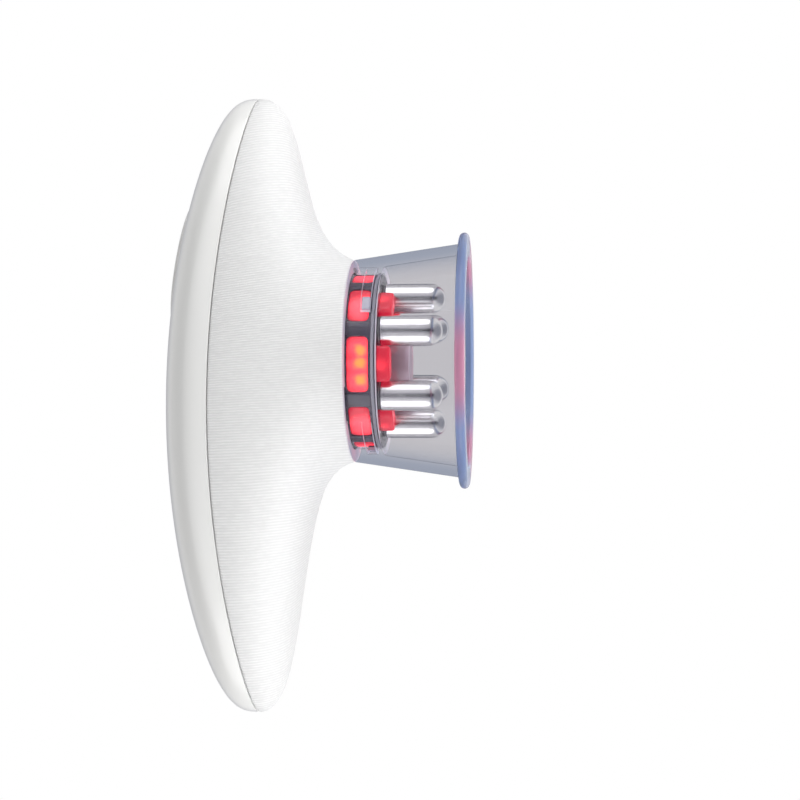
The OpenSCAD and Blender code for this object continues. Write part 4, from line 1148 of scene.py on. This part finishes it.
class MASSAGER_OT_head(Operator):
    """Make the dark base with its lit windows, the red lenses and the clear port."""

    bl_idname = "massager.head"
    bl_label = "Head"

    def execute(self, context):
        self.base()
        self.lenses()
        self.port()
        return {"FINISHED"}

    @staticmethod
    def base():
        """The dark base with its lugs and seal groove, and the lit windows in its wall."""
        head, cup, finish = settings().head, settings().cup, settings().finish
        outer, inner = head.base_r, head.base_r - head.base_wall
        low, high = head.plate_z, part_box("head_base")[1][2]
        ring_r, ring_z = 17.5 * MM, high - 3.5 * MM
        base = shape("head_base_dark", *turned(rounded([
            (inner, low, 0.3 * MM), (outer, low, 0.3 * MM), (outer, high), (ring_r, high),
            (ring_r, ring_z), (inner, ring_z)]), 240, closed=True))
        tall, middle_z = head.window_height, head.window_z + head.window_height / 2
        hot_z, flare = head.window_z + 0.35 * tall, -0.25 * MM
        cutters, panes, hot, warm = [], [], [], []
        for middle, width in windows(head):
            bend = round_wall(middle, middle_z, outer)
            cutters.append(shape("cut", *bent_block(
                outer * width, tall, 1.4 * MM,
                ((flare, outer + MM), (flare, outer), (0, outer + flare), (0, inner - MM)), bend)))
            panes.append(shape("pane", *bent_block(
                outer * width - 0.1 * MM, tall - 0.1 * MM, 1.35 * MM,
                ((0, inner - 0.4 * MM), (0, outer - 0.5 * MM), (0.3 * MM, outer - 0.28 * MM)), bend)))
            wide = width == head.wide_window
            for shift in (-0.28, 0.02, 0.25) if wide else (-0.1,):
                b, r = middle + shift * width, outer - 0.3 * MM
                (hot if wide else warm).append((r * math.cos(b), r * math.sin(b), hot_z))
        lug_height, lug_z = cup.track_height - 2 * BODY_GAP, cup.track_z + cup.track_height / 2
        lug_r = outer + cup.track_depth - BODY_GAP
        lugs = [shape("lug", *bent_block(
            2 * outer * HALF_LUG, lug_height, 0.5 * MM,
            ((0, inner + 0.4 * MM), (0, lug_r - 0.2 * MM), (0.2 * MM, lug_r)),
            round_wall(place, lug_z, outer))) for place in lug_places(head)]
        carved(base, merged("windows", cutters))
        carved(base, merged("lugs", lugs), "UNION")
        seal_room = 0.58 * MM
        groove_z, groove_r, half = head.plate_z + MM, cup.bore_r - 2 * seal_room, 0.55 * MM
        carved(base, shape("groove", *turned(
            [(outer + MM, groove_z - half), (groove_r, groove_z - half), (groove_r, groove_z + half),
             (outer + MM, groove_z + half)], 240, closed=True)))
        dressed(base, base_dark(finish.dark, outer + 0.2 * MM), "base_dark", "handset", "head_base")
        pane = smoothed(merged("light_windows", panes))
        lit = glowing("red_window", reds(), hot, warm, 3.6 * MM, 2.8)
        dressed(pane, lit, "red_window", "handset", "light_window_ring")

    @staticmethod
    def lenses():
        """The six red lenses between the rods."""
        head = settings().head
        circle, half, rod_gap = head.rod_circle, 2.8 * MM, 0.25 * MM
        reach = (circle * math.sin(math.pi / ROD_COUNT) - head.rod_r - rod_gap) / circle
        width = 2 * math.asin(reach) * circle
        face, back = head.plate_z - head.lens_proud, head.plate_z + head.plate_thick + 0.55 * MM
        layers = [(inset * MM, face + up * MM)
                  for inset, up in ((0.8, 0), (0.35, 0.12), (0.05, 0.6), (0, 1.1))] + [(0, back)]
        for k in range(ROD_COUNT):
            b = head.turn + TURN * (k + 0.5) / ROD_COUNT
            spot = (circle * math.cos(b), circle * math.sin(b), head.plate_z - 0.8 * MM)
            block = bent_block(width, 2 * half, 0.9 * MM, layers, round_plate(b, circle))
            lens = smoothed(shape("led_lens_%d_lit" % (k + 1), *block))
            lit = glowing("red_lens_%d" % (k + 1), reds(), [], [spot], 2.4 * MM, 3.0)
            dressed(lens, lit, "red_window", "handset", "led_lens_%d" % (k + 1))

    @staticmethod
    def port():
        """The cloudy suction port on the axis, with its stem through the plate."""
        head = settings().head
        face, back = head.plate_z - head.port_length, head.plate_z - 0.02 * MM
        neck, top = head.plate_z + 3 * MM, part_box("suction_port")[1][2]
        bore_r, rim_r, neck_r, stem_r = 2 * MM, head.port_r - 1.5 * MM, 5.4 * MM, 3.2 * MM
        floor = face + 3.9 * MM
        port = smoothed(shape("suction_port_clear", *turned(rounded([
            (bore_r, floor), (rim_r, floor, 0.1 * MM), (rim_r, face, 0.3 * MM),
            (head.port_r, face, 0.5 * MM), (head.port_r, back), (neck_r, back, 0), (neck_r, neck),
            (stem_r, neck), (stem_r, top), (bore_r, top)]), 128, closed=True)))
        dressed(port, frosted_port((0.8, 0.68, 0.78)), "port_clear", "handset", "suction_port")


class MASSAGER_OT_rods(Operator):
    """Make the six domed rods on their studs."""

    bl_idname = "massager.rods"
    bl_label = "Rods"

    def execute(self, context):
        head = settings().head
        steel = brushed("rod_steel", settings().finish.steel, 0.24, (1, 1, 40), 0.002)
        r, stud_r = head.rod_r, 1.5 * MM
        root, stud_top = head.plate_z - 0.5 * MM, head.plate_z + head.plate_thick + 3.4 * MM
        joint = head.rod_tip + r
        dome = [(r * math.sin(b), joint - r * math.cos(b)) for b in np.linspace(0, math.pi / 2, 20)[:-1]]
        groove = [(r - deep * MM, joint + up * MM)
                  for deep, up in ((0, -0.12), (0.07, -0.05), (0.07, 0.05), (0, 0.12))]
        collar = [(r, root - 0.3 * MM), (r - 0.2 * MM, root), (stud_r, root), (stud_r, stud_top),
                  (0, stud_top)]
        for k in range(ROD_COUNT):
            turn = Matrix.Rotation(head.turn + TURN * k / ROD_COUNT, 4, "Z")
            place = turn @ Matrix.Translation((head.rod_circle, 0, 0))
            rod = smoothed(shape("rod_%d" % (k + 1), *turned(dome + groove + collar, 96), place), 30)
            dressed(rod, steel, "rod_steel", "handset", "electrode_%d" % (k + 1))
        return {"FINISHED"}


def board(name, colour, origin, normal):
    """Circuit board with etched tracks, whose chips and switches stand above its face."""
    made, graph = material(name)
    x, y, z, point = graph.place()
    height = x * normal.x + y * normal.y + z * normal.z - origin.dot(normal)
    above = height > 0.05 * MM
    traces = graph.add(
        "ShaderNodeTexBrick", {"offset": 0.3},
        {"Vector": point, "Scale": 260.0, "Mortar Size": 0.05, "Brick Width": 0.9, "Row Height": 0.3,
         "Color1": (0, 0, 0, 1), "Color2": (0.1, 0.1, 0.1, 1), "Mortar": (1, 1, 1, 1)})
    fine = graph.noise(point, 1500.0)
    face = graph.mix(traces, colour, [1.5 * c + 0.02 for c in colour])
    graph.surface({
        "Base Color": graph.mix(above, face, (0.03, 0.03, 0.032)),
        "Roughness": fine * 0.15 + 0.32,
        "Normal": graph.bump(traces + fine * 0.3, 0.02 * MM, 0.6),
    })
    return made


def cell(name, colour, low_x, high_x):
    """Shrink-wrapped cell with bare ends."""
    made, graph = material(name)
    x, _, _, point = graph.place()
    foot, cap = 0.4 * MM, 1.2 * MM
    bare = (x < low_x + foot).largest(x > high_x - cap)
    creases = graph.noise(graph.scaled(point, (90.0, 700.0, 700.0)), 1.0)
    wrap = graph.mix(creases, shade(colour, 0.85), colour)
    graph.surface({
        "Base Color": graph.mix(bare, wrap, (0.7, 0.7, 0.7)),
        "Metallic": bare,
        "Roughness": creases * 0.15 + 0.28,
        "Normal": graph.bump(creases, 0.04 * MM, 0.6),
    })
    return made


def inlet(name, middle_z):
    """Steel inlet shell with a dark tongue inside."""
    made, graph = material(name)
    _, y, z, point = graph.place()
    half_width, half_thick = 3.4 * MM, 0.36 * MM
    tongue = (abs(y) < half_width) * (abs(z - middle_z) < half_thick)
    marks = graph.noise(graph.scaled(point, (300.0, 2600.0, 2600.0)), 1.0)
    graph.surface({
        "Base Color": graph.mix(tongue, (0.62, 0.62, 0.63), (0.02, 0.02, 0.02)),
        "Metallic": 1.0 - tongue,
        "Roughness": marks * 0.15 + 0.22,
        "Normal": graph.bump(marks, 0.01 * MM, 0.5),
    })
    return made


class MASSAGER_OT_insides(Operator):
    """Give the carried-over inner pieces their finishes and soft edges."""

    bl_idname = "massager.insides"
    bl_label = "Insides"

    def execute(self, context):
        panel = settings().panel
        form = pod_form()
        up = Vector((0, 0, 1))
        under_panel = form.on_dome(panel.middle)
        board_depth = 6.4 * MM
        button_face = under_panel @ Vector((0, 0, -board_depth))
        low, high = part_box("battery")
        green = (0.02, 0.16, 0.06)
        board_thick = 1.6 * MM
        board_top = Vector((0, 0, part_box("main_board")[0][2] + board_thick))
        charge_top = Vector((0, 0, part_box("charging_board")[1][2] + 0.1 * MM))
        screws = brushed("screw_steel", (0.6, 0.6, 0.62), 0.3)
        black = moulded("inner_black", (0.035, 0.035, 0.038), 0.5)
        cans = brushed("motor_can", (0.62, 0.62, 0.6), 0.32, (12, 1, 1))
        finishes = {
            "button_board": board("button_board_green", green, button_face, under_panel.to_3x3() @ up),
            "main_board": board("main_board_green", green, board_top, up),
            "charging_board": board("charging_board_green", green, charge_top, up),
            "board_spacers": screws,
            "board_screws": screws,
            "base_screws": screws,
            "inner_frame": black,
            "battery_cradle": black,
            "motor_clip": black,
            "release_valve": moulded("valve_grey", (0.12, 0.12, 0.13), 0.4),
            "battery": cell("cell_blue", (0.03, 0.12, 0.42), low[0], high[0]),
            "charging_socket": inlet("socket_steel", (SOCKET_BOX[0][2] + SOCKET_BOX[1][2]) / 2),
            "pump_head": moulded("pump_ivory", (0.72, 0.68, 0.56), 0.4),
            "pump_motor": cans,
            "vibration_motor": cans,
            "suction_hose": moulded("hose_silicone", (0.55, 0.55, 0.56), 0.35, 0.01),
            "eccentric_weight": brushed("brass", (0.72, 0.5, 0.2), 0.3, (1, 1, 1)),
            "electrode_nuts": brushed("nut_brass", (0.7, 0.5, 0.22), 0.28, (1, 1, 1)),
            "electrode_washers": moulded("washer_grey", (0.4, 0.4, 0.42), 0.4),
            "head_plate": moulded("plate_dark", settings().finish.dark, 0.25, 0.004, 0.4),
            "led_board": moulded("board_white", (0.7, 0.7, 0.7), 0.35),
            "leds": moulded("lamp_red", (0.6, 0.05, 0.05), 0.25),
            "port_filter": moulded("filter_white", (0.75, 0.73, 0.74), 0.7, 0.08),
            "cup_seal": moulded("seal_grey", (0.35, 0.35, 0.4), 0.35, 0.004),
        }
        for name, finish in finishes.items():
            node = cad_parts[name]
            for slot in node.material_slots:
                slot.material = finish
            node.modifiers.new("weld", "WELD").merge_threshold = 1e-6
            edge = node.modifiers.new("edge", "BEVEL")
            edge.width = 0.1 * MM
            edge.segments = 2
            edge.limit_method = "ANGLE"
            edge.angle_limit = math.radians(50)
        return {"FINISHED"}


class MASSAGER_OT_studio(Operator):
    """Set up the pale floor, the soft lamps, the white surround and the camera."""

    bl_idname = "massager.studio"
    bl_label = "Studio"

    def execute(self, context):
        context.scene.view_settings.view_transform = "Standard"
        self.floor(settings().studio)
        self.surround(context.scene, settings().studio)
        self.lamps(context.scene, settings().studio)
        self.camera(context.scene)
        return {"FINISHED"}

    @staticmethod
    def floor(studio):
        """Faintly mottled paper, bright of itself, that catches the object's shadow and fades out far off.

        It lets the light of the lamps below it through, and reflections don't show it.
        """
        size = 6.0
        floor = shape("floor", [(-size, -size, 0), (size, -size, 0), (size, size, 0), (-size, size, 0)],
                      [(0, 1, 2, 3)])
        made, graph = material("floor_paper")
        x, y, _, point = graph.place()
        fibre = graph.noise(point, 300.0)
        paper = graph.add("ShaderNodeBsdfPrincipled", None, {
            "Base Color": graph.mix(fibre, shade(studio.floor, 0.985), studio.floor), "Roughness": 0.9,
            "Emission Color": (1, 1, 1, 1), "Emission Strength": studio.floor_lift})
        # Fades from 0.3 m off, by the square of the distance
        far = (x * x + y * y).ramp(0.09, 0.5)
        passed = far.largest(graph.add("ShaderNodeNewGeometry", output="Backfacing"))
        for ray in ("Is Shadow Ray", "Is Diffuse Ray", "Is Glossy Ray"):
            passed = passed.largest(graph.add("ShaderNodeLightPath", output=ray))
        see_through = graph.add("ShaderNodeBsdfTransparent")
        both = graph.add("ShaderNodeMixShader", None, {0: passed, 1: paper, 2: see_through})
        graph.add("ShaderNodeOutputMaterial", None, {"Surface": both})
        floor.data.materials.append(made)

    @staticmethod
    def surround(scene, studio):
        """White surround, with dark sides that only the second reflection or a later one shows."""
        world = bpy.data.worlds.new("studio")
        scene.world = world
        world.use_nodes = True
        graph = Graph(world.node_tree)
        rays = [graph.add("ShaderNodeLightPath", output=name) for name in (
            "Is Camera Ray", "Is Glossy Ray", "Is Transmission Ray", "Glossy Depth")]
        seen = rays[0].largest(rays[1]).largest(rays[2])
        across, toward, up, _ = graph.place("Generated")
        camera_side = (1.0 - abs(across).ramp(0.05, 0.5)) * (1.0 - toward.ramp(-0.7, -0.3))
        below = (1.0 - abs(across).ramp(0.3, 0.9)) * (1.0 - up.ramp(-0.95, -0.5)) * 0.6
        behind = toward.ramp(0.5, 0.9) * up.ramp(-0.15, 0.05) * 0.7
        flagged = (rays[3] > 0.5) * camera_side.largest(below).largest(behind)
        plain = seen * (1.0 - studio.ambient) + studio.ambient
        light = graph.add("ShaderNodeBackground", None, {
            "Color": graph.mix(flagged, (1, 1, 1), (0.75, 0.78, 1.0)),
            "Strength": plain * (1.0 - flagged * (1.0 - studio.dark))})
        graph.add("ShaderNodeOutputWorld", None, {"Surface": light})

    @staticmethod
    def lamps(scene, studio):
        """Diffuse lamps below and above the object, and lamps that only gloss, steel and glass show."""
        aim = Vector((0, 0, 45)) * MM
        for name, power, place, length, width in (
                ("key", studio.key, (0.85, -0.3, -0.42), 0.8, 0.8),
                ("fill", studio.fill, (-0.85, -0.3, -0.42), 0.8, 0.8),
                ("table", studio.table, (0, -0.15, -0.6), 0.8, 0.8),
                ("top", studio.top, (0, 0.3, 1.0), 0.8, 0.8),
                ("gloss_nose", studio.gloss, (0.85, -0.35, 0.1), 0.8, 0.8),
                ("gloss_tail", studio.gloss, (-0.85, -0.35, 0.1), 0.8, 0.8),
                ("gloss_back", 2.4 * studio.gloss, (0, -0.9, 0.6), 2.8, 0.9)):
            lamp = bpy.data.lights.new(name, "AREA")
            lamp.shape = "ELLIPSE"
            lamp.size = length
            lamp.size_y = width
            lamp.energy = power
            holder = bpy.data.objects.new(name, lamp)
            holder.location = place
            holder.rotation_euler = (aim - Vector(place)).to_track_quat("-Z", "Y").to_euler()
            holder.visible_camera = False
            holder.visible_glossy = holder.visible_transmission = name.startswith("gloss")
            holder.visible_diffuse = not holder.visible_glossy
            scene.collection.objects.link(holder)

    @staticmethod
    def camera(scene):
        """Camera low at the pod's side, turned so that the nose points up in the picture."""
        eye, target = Vector((-13.65, -403.1, -15.7)) * MM, Vector((-11.5, 0, 20.6)) * MM
        back = (eye - target).normalized()
        right = Vector((1, 0, 0)).cross(back).normalized()
        up = back.cross(right)
        camera = bpy.data.objects.new("camera", bpy.data.cameras.new("camera"))
        camera.matrix_world = Matrix.Translation(eye) @ Matrix((right, up, back)).transposed().to_4x4()
        camera.data.lens = 61.5
        camera.data.sensor_width = 36
        camera.data.clip_start = 0.01
        scene.collection.objects.link(camera)
        scene.camera = camera


PIECES = (
    MASSAGER_OT_studio, MASSAGER_OT_back_shell, MASSAGER_OT_front_shell, MASSAGER_OT_control_panel,
    MASSAGER_OT_buttons, MASSAGER_OT_head, MASSAGER_OT_rods, MASSAGER_OT_cup, MASSAGER_OT_insides)


class MASSAGER_PT_sidebar(Panel):
    """Lists the massager's pieces and its studio."""

    bl_idname = "MASSAGER_PT_sidebar"
    bl_label = "Massager"
    bl_space_type = "VIEW_3D"
    bl_region_type = "UI"
    bl_category = "Massager"

    def draw(self, context):
        for piece in PIECES:
            self.layout.operator(piece.bl_idname)


CLASSES = (
    PodSizes, PanelSizes, CupSizes, HeadSizes, FinishColours, StudioSettings, MassagerSettings, *PIECES,
    MASSAGER_PT_sidebar)


def register():
    for cls in CLASSES:
        bpy.utils.register_class(cls)
    bpy.types.Scene.massager = PointerProperty(type=MassagerSettings)


def unregister():
    del bpy.types.Scene.massager
    for cls in reversed(CLASSES):
        bpy.utils.unregister_class(cls)


def main():
    """Makes every piece."""
    register()
    for piece in PIECES:
        group, name = piece.bl_idname.split(".")
        getattr(getattr(bpy.ops, group), name)()


if __name__ == "__main__":
    main()
